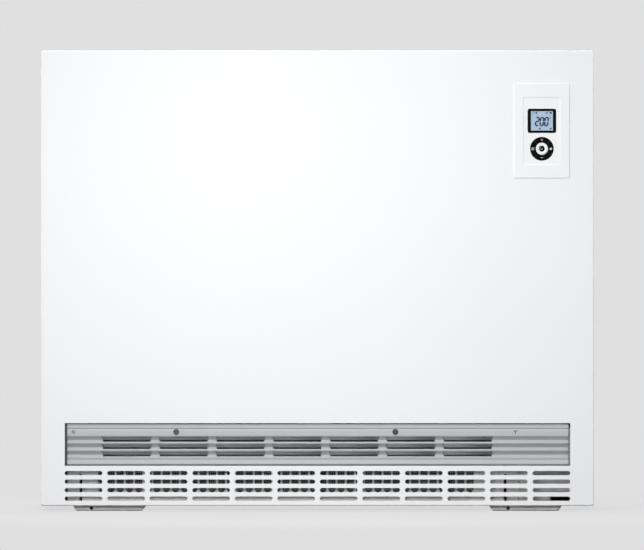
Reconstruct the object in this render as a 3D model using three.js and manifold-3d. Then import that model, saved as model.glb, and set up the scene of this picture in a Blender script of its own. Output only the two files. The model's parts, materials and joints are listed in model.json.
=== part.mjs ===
// A fan-assisted night storage heater: a white steel casing round a core of heavy bricks.
// Tubular elements heat the bricks at night. A cross-flow fan in a drawer at the bottom blows room air
// up through the rear of the core, down its front and out of the louvred grille.
//
// Units are millimetres. +Z is up, the front faces -Y and +X is to the right of someone facing it.
// The origin is on the floor, under the middle of the casing.
import * as THREE from "three";
import { mergeVertices } from "three/addons/utils/BufferGeometryUtils.js";
import Module from "manifold-3d";

const wasm = await Module();
wasm.setup();

// ---- Driving dimensions ----------------------------------------------------------------------------

// Overall size of the heater.
const CASE_WIDTH = 780;
const CASE_HEIGHT = 650;
const CASE_DEPTH = 250;
const SHEET = 1; // casing steel
const EDGE_RADIUS = 3; // bends round the visible edges
const CORNER_RADIUS = 3.5; // the trays' corners seen from in front or above
const SEAT_GAP = 0.3; // between faces that rest on each other
const PANEL_BOTTOM = 7.5; // lower edge of the casing above the floor
const SLIVER = 0.004; // facets thinner than this are merged into their neighbours
const PAST = 1; // how far a cutter runs past the faces that it opens
const INTO = 0.5; // how far solids that are joined reach into each other

// Front panel, with its window for the outlet grille and its rows of inlet slots.
const PANEL_RETURN = 10;
const WINDOW_WIDTH = 713;
const WINDOW_HEIGHT = 60;
const WINDOW_BOTTOM = 64;
const INLET_COLUMNS = 12;
const INLET_ROWS = 4;
const INLET_PITCH_X = 60;
const INLET_PITCH_Z = 12;
const INLET_SLOT_LENGTH = 53;
const INLET_SLOT_HEIGHT = 6;
const INLET_TOP_ROW_BELOW_WINDOW = 10.5;
const SLOT_END_STEPS = 3;

// Casing behind the front panel.
const COVER_HEIGHT = 15; // depth of the top cover's skirt
const PANEL_FLANGE = 12;
const SIDE_REAR_FLANGE = 20;
const WALL_GAP = 25; // rear panel to wall
const REAR_FLANGE = 12;
const REAR_BEAD_WIDTH = 14;
const REAR_BEAD_RISE = 2.5;
const REAR_BEAD_X = 190;
const REAR_BEAD_MARGIN = 60;
const VENT_COUNT = 6;
const VENT_LENGTH = 60;
const VENT_HEIGHT = 5;
const VENT_PITCH = 14;
const VENT_FROM_TOP = 90; // the uppermost vent's middle
const BASE_SHEET = 1.2;
const BASE_FLANGE = 12;
const CABLE_ENTRY_LENGTH = 60;
const CABLE_ENTRY_WIDTH = 34;
const CABLE_ENTRY_FROM_REAR = 40;

// Feet: two shallow pressings that run from front to back.
const FOOT_HEIGHT = 8.5;
const FOOT_TOP_WIDTH = 102.5;
const FOOT_BOTTOM_WIDTH = 94.5;
const FOOT_SHEET = 1.5;
const FOOT_X = 294;
const FOOT_END_MARGIN = 26;
const FOOT_HOLE_RADIUS = 2.4;
const FOOT_HOLE_HEIGHT = 4;
const FOOT_HOLE_OFFSET = 25;

// Z-shaped brackets that fix the rear panel to the wall.
const BRACKET_WIDTH = 40;
const BRACKET_SHEET = 2;
const BRACKET_X = 255;
const BRACKET_TOP_BELOW_COVER = 20;
const BRACKET_LEG = 32;
const BRACKET_HOLE_RADIUS = 4;
const BRACKET_SCREW_RADIUS = 2;

// Outlet grille: one long folded section with three steps, pierced by seven columns of slots.
const GRILLE_SHEET = 1.2;
const GRILLE_LEFT_GAP = 3.4;
const GRILLE_RIGHT_GAP = 2.2;
const GRILLE_END_GAP = 0.7; // above and below the grille
const GRILLE_FACE_DEPTH = 2.6; // its front bands behind the panel's face
const GRILLE_GROOVE_DEPTH = 8;
const GRILLE_FLANGE_DEPTH = 10;
const GRILLE_RIM_SETBACK = 2; // its top rim behind the bands
const GRILLE_RIM_HEIGHT = 2.2;
const GRILLE_FLUTE_DEPTH = 1;
const GRILLE_BEAD = [3.4, 5.4]; // below the top of the grille: the bead's upper and lower edges
const GRILLE_FLUTE = [6.6, 7.8];
const GRILLE_BAND_TOP = 9;
const GRILLE_BAND_DROP = 18; // from the window's top edge to the first nose
const GRILLE_FOOT_RISE = 1.6;
const LOUVRE_COUNT = 3;
const LOUVRE_PITCH = 10.4;
const LOUVRE_GROOVE_DROP = 5.1; // from each nose down to the groove's deepest line
const LOUVRE_SLOT = [0.4, 7.9]; // below each nose: the slot's top and bottom
const OUTLET_COLUMNS = 7;
const OUTLET_PITCH = 80.2;
const OUTLET_SLOT_LENGTH = 70;
const OUTLET_FIRST_SLOT = 52.4; // from the window's left edge
const VANE_DROP = [0.5, 4.6]; // below each nose: the bent-in flap's root and its edge
const VANE_END_GAP = 0.5;
const VANE_DEPTH = 9.3;

// Quarter-turn locks that hold the grille.
const LOCK_LEFT_X = -199.3;
const LOCK_RIGHT_X = 109.6;
const LOCK_BELOW_WINDOW_TOP = 12.2;
const LOCK_HEAD_RADIUS = 4;
const LOCK_HEAD_THICKNESS = 1.3;
const LOCK_SHANK_RADIUS = 2.4;
const LOCK_HOLE_CLEARANCE = 0.5;
const LOCK_SLOT_WIDTH = 1.3;
const LOCK_SLOT_DEPTH = 0.8;
const LOCK_CAM_REACH = 10;
const LOCK_CAM_WIDTH = 6;
const LOCK_CAM_THICKNESS = 2;

// Storage core.
const BRICK_COLUMNS = 3;
const BRICK_LENGTH = 175;
const BRICK_DEPTH = 140;
const BRICK_HEIGHT = 106.2;
const BRICK_CHAMFER = 2;
const AIR_SLOT_LENGTH = 128;
const AIR_SLOT_WIDTH = 12;
const AIR_SLOT_Y = 50; // from the core's middle plane
const ELEMENT_RADIUS = 4.25;
const ELEMENT_LEG_Y = 22;
const ELEMENT_GROOVE_RADIUS = 5.4;
const ELEMENT_TAIL = 14; // past the partition
const ELEMENT_BEAD_RADIUS = 6;
const ELEMENT_BEAD_LENGTH = 7;
const ELEMENT_STUD_RADIUS = 2;
const ELEMENT_STUD_LENGTH = 10;
const ELEMENT_BEND_POCKET_CLEARANCE = 3;
const ELEMENT_HOLE_CLEARANCE = 2;

// Insulation round the core.
const BOTTOM_INSULATION = 31;
const TOP_INSULATION = 36; // the least that lies over the core
const RIGHT_INSULATION = 65;
const AIR_TURN_HEIGHT = 15; // recess over the core where the air turns round
const DUCT_SLOT_CLEARANCE = 1;

// Steelwork that carries the core over the fan bay.
const SHELF_SHEET = 2;
const SHELF_HEIGHT = 131; // underside above the floor
const SHELF_LIP = 12.5; // keeper for the grille locks
const SHELF_FRONT = 13; // behind the front panel's face
const RAIL_SHEET = 1.5;
const RAIL_FLANGE = 17;
const RAIL_FRONT = 15.5;
const BAY_LEFT = -336; // inner face of the left rail
const BAY_RIGHT = 267; // inner face of the right rail
const SWITCH_BAY = 105.4; // from the partition to the casing's right side

// Fan drawer.
const DRAWER_SHEET = 1;
const DRAWER_SIDE_GAP = 3.8;
const DRAWER_EAR_REACH = 14;
const DRAWER_EAR_HEIGHT = 11;
const DRAWER_FRONT_HEIGHT = 52.5;
const DRAWER_SIDE_HEIGHT = 40;
const DRAWER_REAR_HEIGHT = 20;
const DRAWER_LIP_HEIGHT = 14;
const DRAWER_LIP_STEP = 5;
const DRAWER_REAR_MARGIN = 6;
const INTAKE_COUNT = 41;
const INTAKE_PITCH = 13;
const INTAKE_WIDTH = 10;
const INTAKE_HEIGHT = 34;
const INTAKE_TOP_MARGIN = 2.8;
const INTAKE_FIRST = 22.6; // from the drawer's left side
const INTAKE_END_STEPS = 2;

// Fluff filter behind the drawer's front.
const FILTER_THICKNESS = 3;
const FILTER_BORDER = 4;
const FILTER_BAR = 2;
const FILTER_COLUMNS = 12;
const FILTER_ROWS = 2;
const FILTER_OVERLAP = 4; // past the intake slots on each side

// Cross-flow fan.
const FAN_Y = 42;
const FAN_Z = 38;
const FAN_RADIUS = 21;
const FAN_LEFT_MARGIN = 29; // drawer's side to the scroll's left cheek
const FAN_RIGHT_MARGIN = 46;
const BLADE_COUNT = 16;
const BLADE_THICKNESS = 0.9;
const BLADE_DEPTH = 6;
const BLADE_SWEEP = 0.2; // radians from root to tip
const BLADE_BOW = 0.1;
const DISC_THICKNESS = 1.5;
const DISC_COUNT = 3;
const IMPELLER_END_GAP = 1;
const SHAFT_RADIUS = 3;
const SHAFT_CLEARANCE = 0.4;
const SCROLL_SHEET = 1;
const SCROLL_MIN_GAP = 3.4;
const SCROLL_MAX_GAP = 14;
const SCROLL_START = 1.4; // half turns from the rear horizontal to where the spiral starts
const SCROLL_STEPS = 9;
const TONGUE_GAP = 3;
const TONGUE_OFFSET = 12; // in front of the impeller's axis
const TONGUE_FLANGE = 10;
const CHEEK_MARGIN = 8;
const CHEEK_HOLE_CLEARANCE = 2;
const BEARING_RADIUS = 8.5;
const BEARING_LENGTH = 7;
const BEARING_FLANGE_RADIUS = 11;
const BEARING_FLANGE = 1.5;
const MOTOR_STACK = 18;
const MOTOR_WIDTH = 48;
const MOTOR_HEIGHT = 44;
const MOTOR_COIL_LENGTH = 28;
const MOTOR_COIL_WIDTH = 22;
const MOTOR_COIL_HEIGHT = 34;
const MOTOR_COIL_RADIUS = 5;
const MOTOR_BOSS_RADIUS = 10;
const MOTOR_BOSS_LENGTH = 6;

// Air duct between the fan, the core and the grille, with its mixing flap.
const DUCT_SHEET = 1;
const DUCT_LEFT = -305;
const DUCT_RIGHT = 248;
const DUCT_FRONT = 15.5;
const DUCT_FLOOR = 66;
const DUCT_WALL_Y = 16;
const DUCT_REAR_Y = 84;
const DUCT_LIP_HEIGHT = 11;
const DUCT_LIP_LEFT_INSET = 48;
const DUCT_LIP_RIGHT_INSET = 19;
const BYPASS_LEFT = -200;
const BYPASS_RIGHT = 150;
const BYPASS_BOTTOM = 79;
const BYPASS_TOP = 115;
const FLAP_SHEET = 1.2;
const FLAP_OVERLAP = 2.5;
const FLAP_END_GAP = 1;
const FLAP_TUBE_RADIUS = 2.2;
const FLAP_PIN_RADIUS = 1.5;
const FLAP_PIN_CLEARANCE = 0.35;
const FLAP_PIN_END = 1; // past the ears
const FLAP_AXIS_ABOVE_BYPASS = 5;
const FLAP_EAR = 9;
const FLAP_EAR_SHEET = 1.5;
const BIMETAL_WIDTH = 16;
const BIMETAL_THICKNESS = 0.8;
const BIMETAL_X = -25;
const BIMETAL_SEAT = 11; // height of its root above the bypass
const BIMETAL_BOW = 4;
const BIMETAL_RIVET_RADIUS = 3;

// Electrics in the switch bay.
const PLATE_SHEET = 1;
const PLATE_FRONT = 29.5; // behind the front panel's face
const PLATE_TOP_MARGIN = 20;
const PLATE_LIP_HEIGHT = 14;
const PLATE_LIP_STEP = 6;
const PLATE_NOTCH_FROM_RIGHT = 60;
const BOARD_THICKNESS = 1.6;
const POWER_BOARD_BOTTOM = 292;
const POWER_BOARD_HEIGHT = 140;
const POWER_BOARD_MARGIN = 8;
const BOARD_STANDOFF = 4;
const STANDOFF_RADIUS = 3;
const STANDOFF_INSET = 5;
const RELAY_SIZE = [16, 13, 28];
const RELAY_COUNT = 3;
const RELAY_RISE = 12;
const CAPACITOR_RADIUS = 7;
const CAPACITOR_HEIGHT = 13;
const CAPACITOR_SPREAD = 10;
const CAPACITOR_DROP = 20; // below the board's top
const HEAT_SINK_SIZE = [40, 13, 30];
const HEAT_SINK_RISE = 60;
const TERMINAL_COUNT = 7;
const TERMINAL_PITCH = 11;
const TERMINAL_DEPTH = 16;
const TERMINAL_HEIGHT = 24;
const TERMINAL_BOTTOM = 150;
const TERMINAL_WELL_RADIUS = 2.6;
const TERMINAL_WELL_DEPTH = 6;
const TERMINAL_WELL_Z = 164;
const CUTOUT_Z = 228;
const CUTOUT_RADIUS = 8;
const CUTOUT_DEPTH = 8;
const CUTOUT_FLANGE = 1;
const CUTOUT_EAR_SPAN = 32;
const CUTOUT_EAR_WIDTH = 18;
const CUTOUT_BLADE = [0.8, 7, 6.3];

// Control unit in the front panel's top right corner.
const CONTROL_FROM_RIGHT = 73.5; // its middle, from the casing's right side
const CONTROL_FROM_TOP = 113.8;
const BEZEL_WIDTH = 78;
const BEZEL_HEIGHT = 132.5;
const BEZEL_RISE = 1.5;
const BEZEL_RADIUS = 2;
const BEZEL_CHAMFER = 0.5;
const FASCIA_WIDTH = 52;
const FASCIA_HEIGHT = 96;
const FASCIA_DEPTH = 0.9;
const FASCIA_THICKNESS = 1.5;
const CONTROL_WALL = 1.5;
const CONTROL_BODY_MARGIN = 0.5; // round the fascia
const CONTROL_BODY_DEPTH = 17;
const CONTROL_CUTOUT_CLEARANCE = 0.5;
const DISPLAY_WIDTH = 39.8;
const DISPLAY_HEIGHT = 33.6;
const DISPLAY_Z = 14.3;
const DISPLAY_RADIUS = 2;
const DISPLAY_GLASS = 1.2;
const DISPLAY_MODULE_MARGIN = 2;
const CONTROL_BOARD_Y = 6.8;
const KEY_RING_Z = -25.1;
const KEY_RING_RADIUS = 16.4;
const KEY_RING_INNER = 9;
const KEY_RING_SPLIT = 0.5;
const KEY_CLEARANCE = 0.3;
const KEY_PROUD = 0.4;
const KEY_LENGTH = 4.2;
const KEY_LIP = 1.6; // past the fascia's opening
const KEY_LIP_THICKNESS = 1.2;
const KEY_TRAVEL = 0.8;
const OK_KEY_RADIUS = 8.6;
const OK_POST_RADIUS = 2.2;
const OK_POST_RELIEF = 0.8;
const DOME_RADIUS = 2;

// ---- Places worked out from the sizes --------------------------------------------------------------

const halfWidth = CASE_WIDTH / 2;
const frontFace = -CASE_DEPTH / 2 + BEZEL_RISE; // outer face of the front panel
const wallPlane = CASE_DEPTH / 2;
const sideFront = frontFace + PANEL_RETURN + SEAT_GAP;
const coverBottom = CASE_HEIGHT - COVER_HEIGHT;
const sideTop = coverBottom - SEAT_GAP;
const innerX = halfWidth - SHEET; // inner face of either side panel
const rearFace = wallPlane - WALL_GAP; // outer face of the rear panel
const rearInner = rearFace - SHEET - SEAT_GAP;
const baseBottom = FOOT_HEIGHT + SEAT_GAP;
const baseTop = baseBottom + BASE_SHEET;
const windowLeft = -WINDOW_WIDTH / 2;
const windowTop = WINDOW_BOTTOM + WINDOW_HEIGHT;
const shelfTop = SHELF_HEIGHT + SHELF_SHEET;
const shelfFront = frontFace + SHELF_FRONT;
const partitionX = halfWidth - SWITCH_BAY; // left face of the partition
const coreBottom = shelfTop + SEAT_GAP + BOTTOM_INSULATION + SEAT_GAP;
const brickPitchX = BRICK_LENGTH + SEAT_GAP;
const brickPitchZ = BRICK_HEIGHT + SEAT_GAP;
const insulationTop = sideTop - SHEET - SEAT_GAP;
const brickRows = Math.floor((insulationTop - TOP_INSULATION - coreBottom) / brickPitchZ);
const coreTop = coreBottom + brickRows * brickPitchZ - SEAT_GAP;
const coreRight = partitionX - SEAT_GAP - RIGHT_INSULATION - SEAT_GAP;
const coreLeft = coreRight - BRICK_COLUMNS * brickPitchX + SEAT_GAP;
const coreFront = -BRICK_DEPTH / 2;
const coreRear = BRICK_DEPTH / 2;
const drawerLeft = BAY_LEFT + DRAWER_SIDE_GAP;
const drawerRight = BAY_RIGHT - DRAWER_SIDE_GAP;
const railFront = frontFace + RAIL_FRONT;
const drawerFront = railFront - SEAT_GAP - DRAWER_SHEET; // outer face of the drawer's front
const drawerBottom = baseTop + SEAT_GAP;
const drawerFloor = drawerBottom + DRAWER_SHEET;
const drawerTop = drawerBottom + DRAWER_FRONT_HEIGHT;
const drawerRear = rearInner - DRAWER_REAR_MARGIN;
const intakeLeft = drawerLeft + INTAKE_FIRST;
const intakeRight = intakeLeft + (INTAKE_COUNT - 1) * INTAKE_PITCH + INTAKE_WIDTH;
const cheekLeft = drawerLeft + FAN_LEFT_MARGIN; // outer face of the scroll's left cheek
const cheekRight = drawerRight - FAN_RIGHT_MARGIN; // outer face of its right cheek
const grilleLeft = windowLeft + GRILLE_LEFT_GAP;
const grilleRight = -windowLeft - GRILLE_RIGHT_GAP;
const lockZ = windowTop - LOCK_BELOW_WINDOW_TOP;
const flapAxisZ = BYPASS_TOP + FLAP_AXIS_ABOVE_BYPASS;
const flapAxisY = DUCT_WALL_Y - DUCT_SHEET / 2 - SEAT_GAP - FLAP_TUBE_RADIUS - FLAP_PIN_CLEARANCE;
const plateFront = frontFace + PLATE_FRONT;
const plateLeft = partitionX + SHEET + SEAT_GAP;
const plateRight = innerX - SEAT_GAP;
const controlX = halfWidth - CONTROL_FROM_RIGHT;
const controlZ = CASE_HEIGHT - CONTROL_FROM_TOP;
const fasciaFace = -BEZEL_RISE + FASCIA_DEPTH; // in the control unit's own frame
const fasciaBack = fasciaFace + FASCIA_THICKNESS;
const controlBodyWidth = FASCIA_WIDTH + 2 * CONTROL_BODY_MARGIN;
const controlBodyHeight = FASCIA_HEIGHT + 2 * CONTROL_BODY_MARGIN;

// ---- Colours ---------------------------------------------------------------------------------------

const WHITE_PAINT = { color: 0xf4f5f6, roughness: 0.45, metalness: 0 };
const WHITE_PLASTIC = { color: 0xf2f2f2, roughness: 0.4, metalness: 0 };
const GREY_ALUMINIUM = { color: 0xb4b5b8, roughness: 0.4, metalness: 0.7 };
const GALVANISED = { color: 0x9fa1a3, roughness: 0.5, metalness: 0.8 };
const DARK_STEEL = { color: 0x6d6e70, roughness: 0.5, metalness: 0.8 };
const FILTER_PLASTIC = { color: 0x2f3032, roughness: 0.7, metalness: 0 };
const BLACK_PLASTIC = { color: 0x101113, roughness: 0.35, metalness: 0 };
const BRICK_CERAMIC = { color: 0x4b3a33, roughness: 0.9, metalness: 0 };
const INSULATION_BOARD = { color: 0xc9b48c, roughness: 0.95, metalness: 0 };
const ELEMENT_STEEL = { color: 0x77716b, roughness: 0.45, metalness: 0.9 };
const CIRCUIT_BOARD = { color: 0x1f5b3a, roughness: 0.5, metalness: 0 };
const TERMINAL_PLASTIC = { color: 0xd8d8d2, roughness: 0.5, metalness: 0 };
const DISPLAY_BLUE = { color: 0xb0c8e4, roughness: 0.2, metalness: 0 };

// ---- Solids ----------------------------------------------------------------------------------------

// A closed three.js geometry as a manifold-3d solid.
function solidOf(geometry) {
  const bare = geometry.clone();
  bare.deleteAttribute("normal");
  bare.deleteAttribute("uv");
  const merged = mergeVertices(bare, 1e-4);
  return new wasm.Manifold(
    new wasm.Mesh({
      numProp: 3,
      vertProperties: new Float32Array(merged.attributes.position.array),
      triVerts: new Uint32Array(merged.index.array),
    }),
  );
}

// A manifold-3d solid as a three.js geometry with flat facets, less the slivers that a cut leaves.
function geometryOf(solid) {
  const mesh = solid.simplify(SLIVER).getMesh();
  const indexed = new THREE.BufferGeometry();
  indexed.setAttribute("position", new THREE.BufferAttribute(mesh.vertProperties, 3));
  indexed.setIndex(new THREE.BufferAttribute(mesh.triVerts, 1));
  const flat = indexed.toNonIndexed();
  flat.computeVertexNormals();
  return flat;
}

// The solids joined into one.
function join(...solids) {
  return solids.reduce((all, next) => all.add(next));
}

// The first solid with the others cut out of it.
function cut(solid, ...tools) {
  return solid.subtract(join(...tools));
}

// A box between two limits on each axis.
function box(...limits) {
  const geometry = new THREE.BoxGeometry(1, 1, 1);
  const { position } = geometry.attributes;
  for (let i = 0; i < position.count; i++) {
    limits.forEach(([low, high], axis) => {
      position.setComponent(i, axis, position.getComponent(i, axis) < 0 ? low : high);
    });
  }
  return solidOf(geometry);
}

// A flat section carried between two limits. place turns a point of the section, and the limit that it
// lies at, into a point in space. Every point lands exactly on a limit, so that flush faces are flush.
function carried(shape, [near, far], curveSegments, place) {
  const geometry = new THREE.ExtrudeGeometry(shape, { depth: 1, bevelEnabled: false, curveSegments });
  const { position } = geometry.attributes;
  for (let i = 0; i < position.count; i++) {
    const limit = position.getZ(i) > 0.5 ? far : near;
    position.setXYZ(i, ...place(position.getX(i), position.getY(i), limit));
  }
  return solidOf(geometry);
}

// A section of (y, z) points carried along X.
function alongX(shape, [x0, x1], curveSegments = 6) {
  return carried(shape, [x0, x1], curveSegments, (u, v, x) => [x, u, v]);
}

// A section of (x, z) points carried along Y, from the far limit, so that its faces point outwards.
function alongY(shape, [y0, y1], curveSegments = 6) {
  return carried(shape, [y1, y0], curveSegments, (u, v, y) => [u, y, v]);
}

// A section of (x, y) points carried along Z.
function alongZ(shape, [z0, z1], curveSegments = 6) {
  return carried(shape, [z0, z1], curveSegments, (u, v, z) => [u, v, z]);
}

// A regular polygon that stands for a circle.
function circle(radius, u, v, sides) {
  const corners = Array.from({ length: sides }, (_, i) => {
    const angle = ((i + 0.5) / sides) * Math.PI * 2;
    return [u + radius * Math.cos(angle), v + radius * Math.sin(angle)];
  });
  return outline(corners);
}

// A round bar along X through (y, z).
function barX(radius, limits, y, z, sides = 16) {
  return alongX(circle(radius, y, z, sides), limits);
}

// A round bar along Y through (x, z).
function barY(radius, limits, x, z, sides = 16) {
  return alongY(circle(radius, x, z, sides), limits);
}

// A closed outline through points.
function outline(points) {
  return new THREE.Shape(points.map(([u, v]) => new THREE.Vector2(u, v)));
}

// A rectangle with round corners, centred on (u, v).
function roundedRectangle(width, height, radius, u = 0, v = 0) {
  const [w, h] = [width / 2, height / 2];
  const shape = new THREE.Shape();
  shape.absarc(u + w - radius, v + h - radius, radius, 0, Math.PI / 2);
  shape.absarc(u - w + radius, v + h - radius, radius, Math.PI / 2, Math.PI);
  shape.absarc(u - w + radius, v - h + radius, radius, Math.PI, Math.PI * 1.5);
  shape.absarc(u + w - radius, v - h + radius, radius, Math.PI * 1.5, Math.PI * 2);
  return shape;
}

// A slot with round ends, its long side along the first coordinate, or the second if upright.
function slotPoints(u, v, length, width, endSteps, upright = false) {
  const radius = width / 2;
  const reach = length / 2 - radius;
  const points = [];
  for (const end of [1, -1]) {
    for (let i = 0; i <= endSteps; i++) {
      const angle = (i / endSteps - 0.5) * Math.PI + (end < 0 ? Math.PI : 0);
      const along = end * reach + radius * Math.cos(angle);
      const across = radius * Math.sin(angle);
      points.push(upright ? [u - across, v + along] : [u + along, v + across]);
    }
  }
  return points;
}

function slotShape(...values) {
  return outline(slotPoints(...values));
}

// The section of a folded sheet: a line of (u, v) points given a thickness, with mitred folds.
function foldedSheet(points, thickness) {
  const line = points.map(([u, v]) => new THREE.Vector2(u, v));
  const half = thickness / 2;
  const offsets = line.map((point, i) => {
    const before = point.clone().sub(line[i - 1] ?? point).normalize();
    const after = (line[i + 1] ?? point).clone().sub(point).normalize();
    const [a, b] = [before.lengthSq() ? before : after, after.lengthSq() ? after : before];
    const normal = new THREE.Vector2(-a.y - b.y, a.x + b.x).normalize();
    return normal.multiplyScalar(half / normal.dot(new THREE.Vector2(-a.y, a.x)));
  });
  const left = line.map((point, i) => point.clone().add(offsets[i]));
  const right = line.map((point, i) => point.clone().sub(offsets[i]));
  return new THREE.Shape([...left, ...right.reverse()]);
}

// A block whose edges towards -Y are rounded, as a pressed sheet's are.
function pillow(shape, [y0, y1], radius) {
  const geometry = new THREE.ExtrudeGeometry(shape, {
    depth: y1 - y0,
    bevelEnabled: true,
    bevelThickness: radius,
    bevelSize: radius,
    bevelOffset: -radius,
    bevelSegments: 2,
    curveSegments: 1,
  });
  geometry.rotateX(Math.PI / 2).translate(0, y1 + radius, 0);
  const block = solidOf(geometry);
  const { min, max } = block.boundingBox();
  const spare = box([min[0] - PAST, max[0] + PAST], [y1, max[1] + PAST], [min[2] - PAST, max[2] + PAST]);
  return block.subtract(spare);
}

// A named mesh of a solid, in its own material.
function piece(name, solid, finish) {
  const geometry = solid.isBufferGeometry ? solid : geometryOf(solid);
  const mesh = new THREE.Mesh(geometry, new THREE.MeshStandardMaterial(finish));
  mesh.name = name;
  return mesh;
}

// ---- Casing ----------------------------------------------------------------------------------------

// The inlet slots in the front panel, each as its row and column place it.
function inletSlots(depth) {
  const first = -((INLET_COLUMNS - 1) * INLET_PITCH_X) / 2;
  const topRow = WINDOW_BOTTOM - INLET_TOP_ROW_BELOW_WINDOW;
  const slots = [];
  for (let column = 0; column < INLET_COLUMNS; column++) {
    for (let row = 0; row < INLET_ROWS; row++) {
      const x = first + column * INLET_PITCH_X;
      const z = topRow - row * INLET_PITCH_Z;
      const shape = slotShape(x, z, INLET_SLOT_LENGTH, INLET_SLOT_HEIGHT, SLOT_END_STEPS);
      slots.push(alongY(shape, depth));
    }
  }
  return slots;
}

// A tray with a rounded front edge: the front panel, and the top cover once it is turned face up.
function pressedTray(width, height, centreV, [y0, y1]) {
  const corner = CORNER_RADIUS;
  const outer = pillow(roundedRectangle(width, height, corner, 0, centreV), [y0, y1], EDGE_RADIUS);
  const inset = 2 * SHEET;
  const hollow = roundedRectangle(width - inset, height - inset, corner - SHEET, 0, centreV);
  return outer.subtract(pillow(hollow, [y0 + SHEET, y1 + PAST], EDGE_RADIUS - SHEET));
}

function frontPanel() {
  const height = CASE_HEIGHT - PANEL_BOTTOM;
  const depth = [frontFace, frontFace + PANEL_RETURN];
  const through = [frontFace - PAST, frontFace + SHEET + PAST];
  const tray = pressedTray(CASE_WIDTH, height, PANEL_BOTTOM + height / 2, depth);
  const window = box([windowLeft, -windowLeft], through, [WINDOW_BOTTOM, windowTop]);
  const cutoutWidth = controlBodyWidth / 2 + CONTROL_CUTOUT_CLEARANCE;
  const cutoutHeight = controlBodyHeight / 2 + CONTROL_CUTOUT_CLEARANCE;
  const controlCutout = box(
    [controlX - cutoutWidth, controlX + cutoutWidth],
    through,
    [controlZ - cutoutHeight, controlZ + cutoutHeight],
  );
  return piece("front_panel", cut(tray, window, controlCutout, ...inletSlots(through)), WHITE_PAINT);
}

// A side panel with flanges turned inwards along its four edges; side is -1 on the left, 1 on the right.
function sidePanel(name, side) {
  const flange = innerX - PANEL_FLANGE;
  const section = outline(
    [
      [halfWidth, sideFront],
      [halfWidth, wallPlane],
      [innerX - SIDE_REAR_FLANGE, wallPlane],
      [innerX - SIDE_REAR_FLANGE, wallPlane - SHEET],
      [innerX, wallPlane - SHEET],
      [innerX, sideFront + SHEET],
      [flange, sideFront + SHEET],
      [flange, sideFront],
    ].map(([x, y]) => [side * x, y]),
  );
  const across = [side * flange, side * (innerX + SHEET / 2)].sort((a, b) => a - b);
  const lower = box(across, [sideFront, rearFace - SHEET], [PANEL_BOTTOM, PANEL_BOTTOM + SHEET]);
  const upper = box(across, [sideFront, rearFace - SHEET], [sideTop - SHEET, sideTop]);
  return piece(name, join(alongZ(section, [PANEL_BOTTOM, sideTop]), lower, upper), WHITE_PAINT);
}

function topCover() {
  const depth = wallPlane - sideFront;
  const cover = piece("top_cover", pressedTray(CASE_WIDTH, depth, 0, [0, COVER_HEIGHT]), WHITE_PAINT);
  cover.rotation.x = -Math.PI / 2;
  cover.position.set(0, (sideFront + wallPlane) / 2, CASE_HEIGHT);
  return cover;
}

function rearPanel() {
  const half = innerX - SEAT_GAP;
  const [bottom, top] = [baseTop + SEAT_GAP, sideTop - SHEET - SEAT_GAP];
  const sheet = outline([[-half, bottom], [half, bottom], [half, top], [-half, top]]);
  const ventX = (partitionX + innerX) / 2;
  for (let i = 0; i < VENT_COUNT; i++) {
    const z = CASE_HEIGHT - VENT_FROM_TOP - i * VENT_PITCH;
    sheet.holes.push(slotShape(ventX, z, VENT_LENGTH, VENT_HEIGHT, 2));
  }
  const web = alongY(sheet, [rearFace - SHEET, rearFace]);
  const flanges = [-1, 1].map((side) => {
    const across = [side * half, side * (half - SHEET)].sort((a, b) => a - b);
    return box(across, [rearFace - SHEET, rearFace + REAR_FLANGE], [bottom, top]);
  });
  const beads = [-REAR_BEAD_X, 0, REAR_BEAD_X].map((x) => {
    const bead = outline([
      [x - REAR_BEAD_WIDTH / 2, rearFace - SHEET / 2],
      [x + REAR_BEAD_WIDTH / 2, rearFace - SHEET / 2],
      [x + REAR_BEAD_WIDTH / 4, rearFace + REAR_BEAD_RISE],
      [x - REAR_BEAD_WIDTH / 4, rearFace + REAR_BEAD_RISE],
    ]);
    return alongZ(bead, [bottom + REAR_BEAD_MARGIN, top - REAR_BEAD_MARGIN]);
  });
  return piece("rear_panel", join(web, ...flanges, ...beads), GALVANISED);
}

function baseTray() {
  const half = innerX - SEAT_GAP;
  const front = sideFront + SHEET + SEAT_GAP;
  const plate = box([-half, half], [front, rearInner], [baseBottom, baseTop]);
  const rise = [baseBottom, baseBottom + BASE_FLANGE];
  const left = box([-half, -half + BASE_SHEET], [front, rearInner], rise);
  const right = box([half - BASE_SHEET, half], [front, rearInner], rise);
  const rear = box([-half, half], [rearInner - BASE_SHEET, rearInner], rise);
  const entryX = (partitionX + innerX) / 2;
  const entry = box(
    [entryX - CABLE_ENTRY_LENGTH / 2, entryX + CABLE_ENTRY_LENGTH / 2],
    [rearInner - CABLE_ENTRY_FROM_REAR - CABLE_ENTRY_WIDTH, rearInner - CABLE_ENTRY_FROM_REAR],
    [baseBottom - PAST, baseTop + PAST],
  );
  return piece("base_tray", cut(join(plate, left, right, rear), entry), GALVANISED);
}

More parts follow.
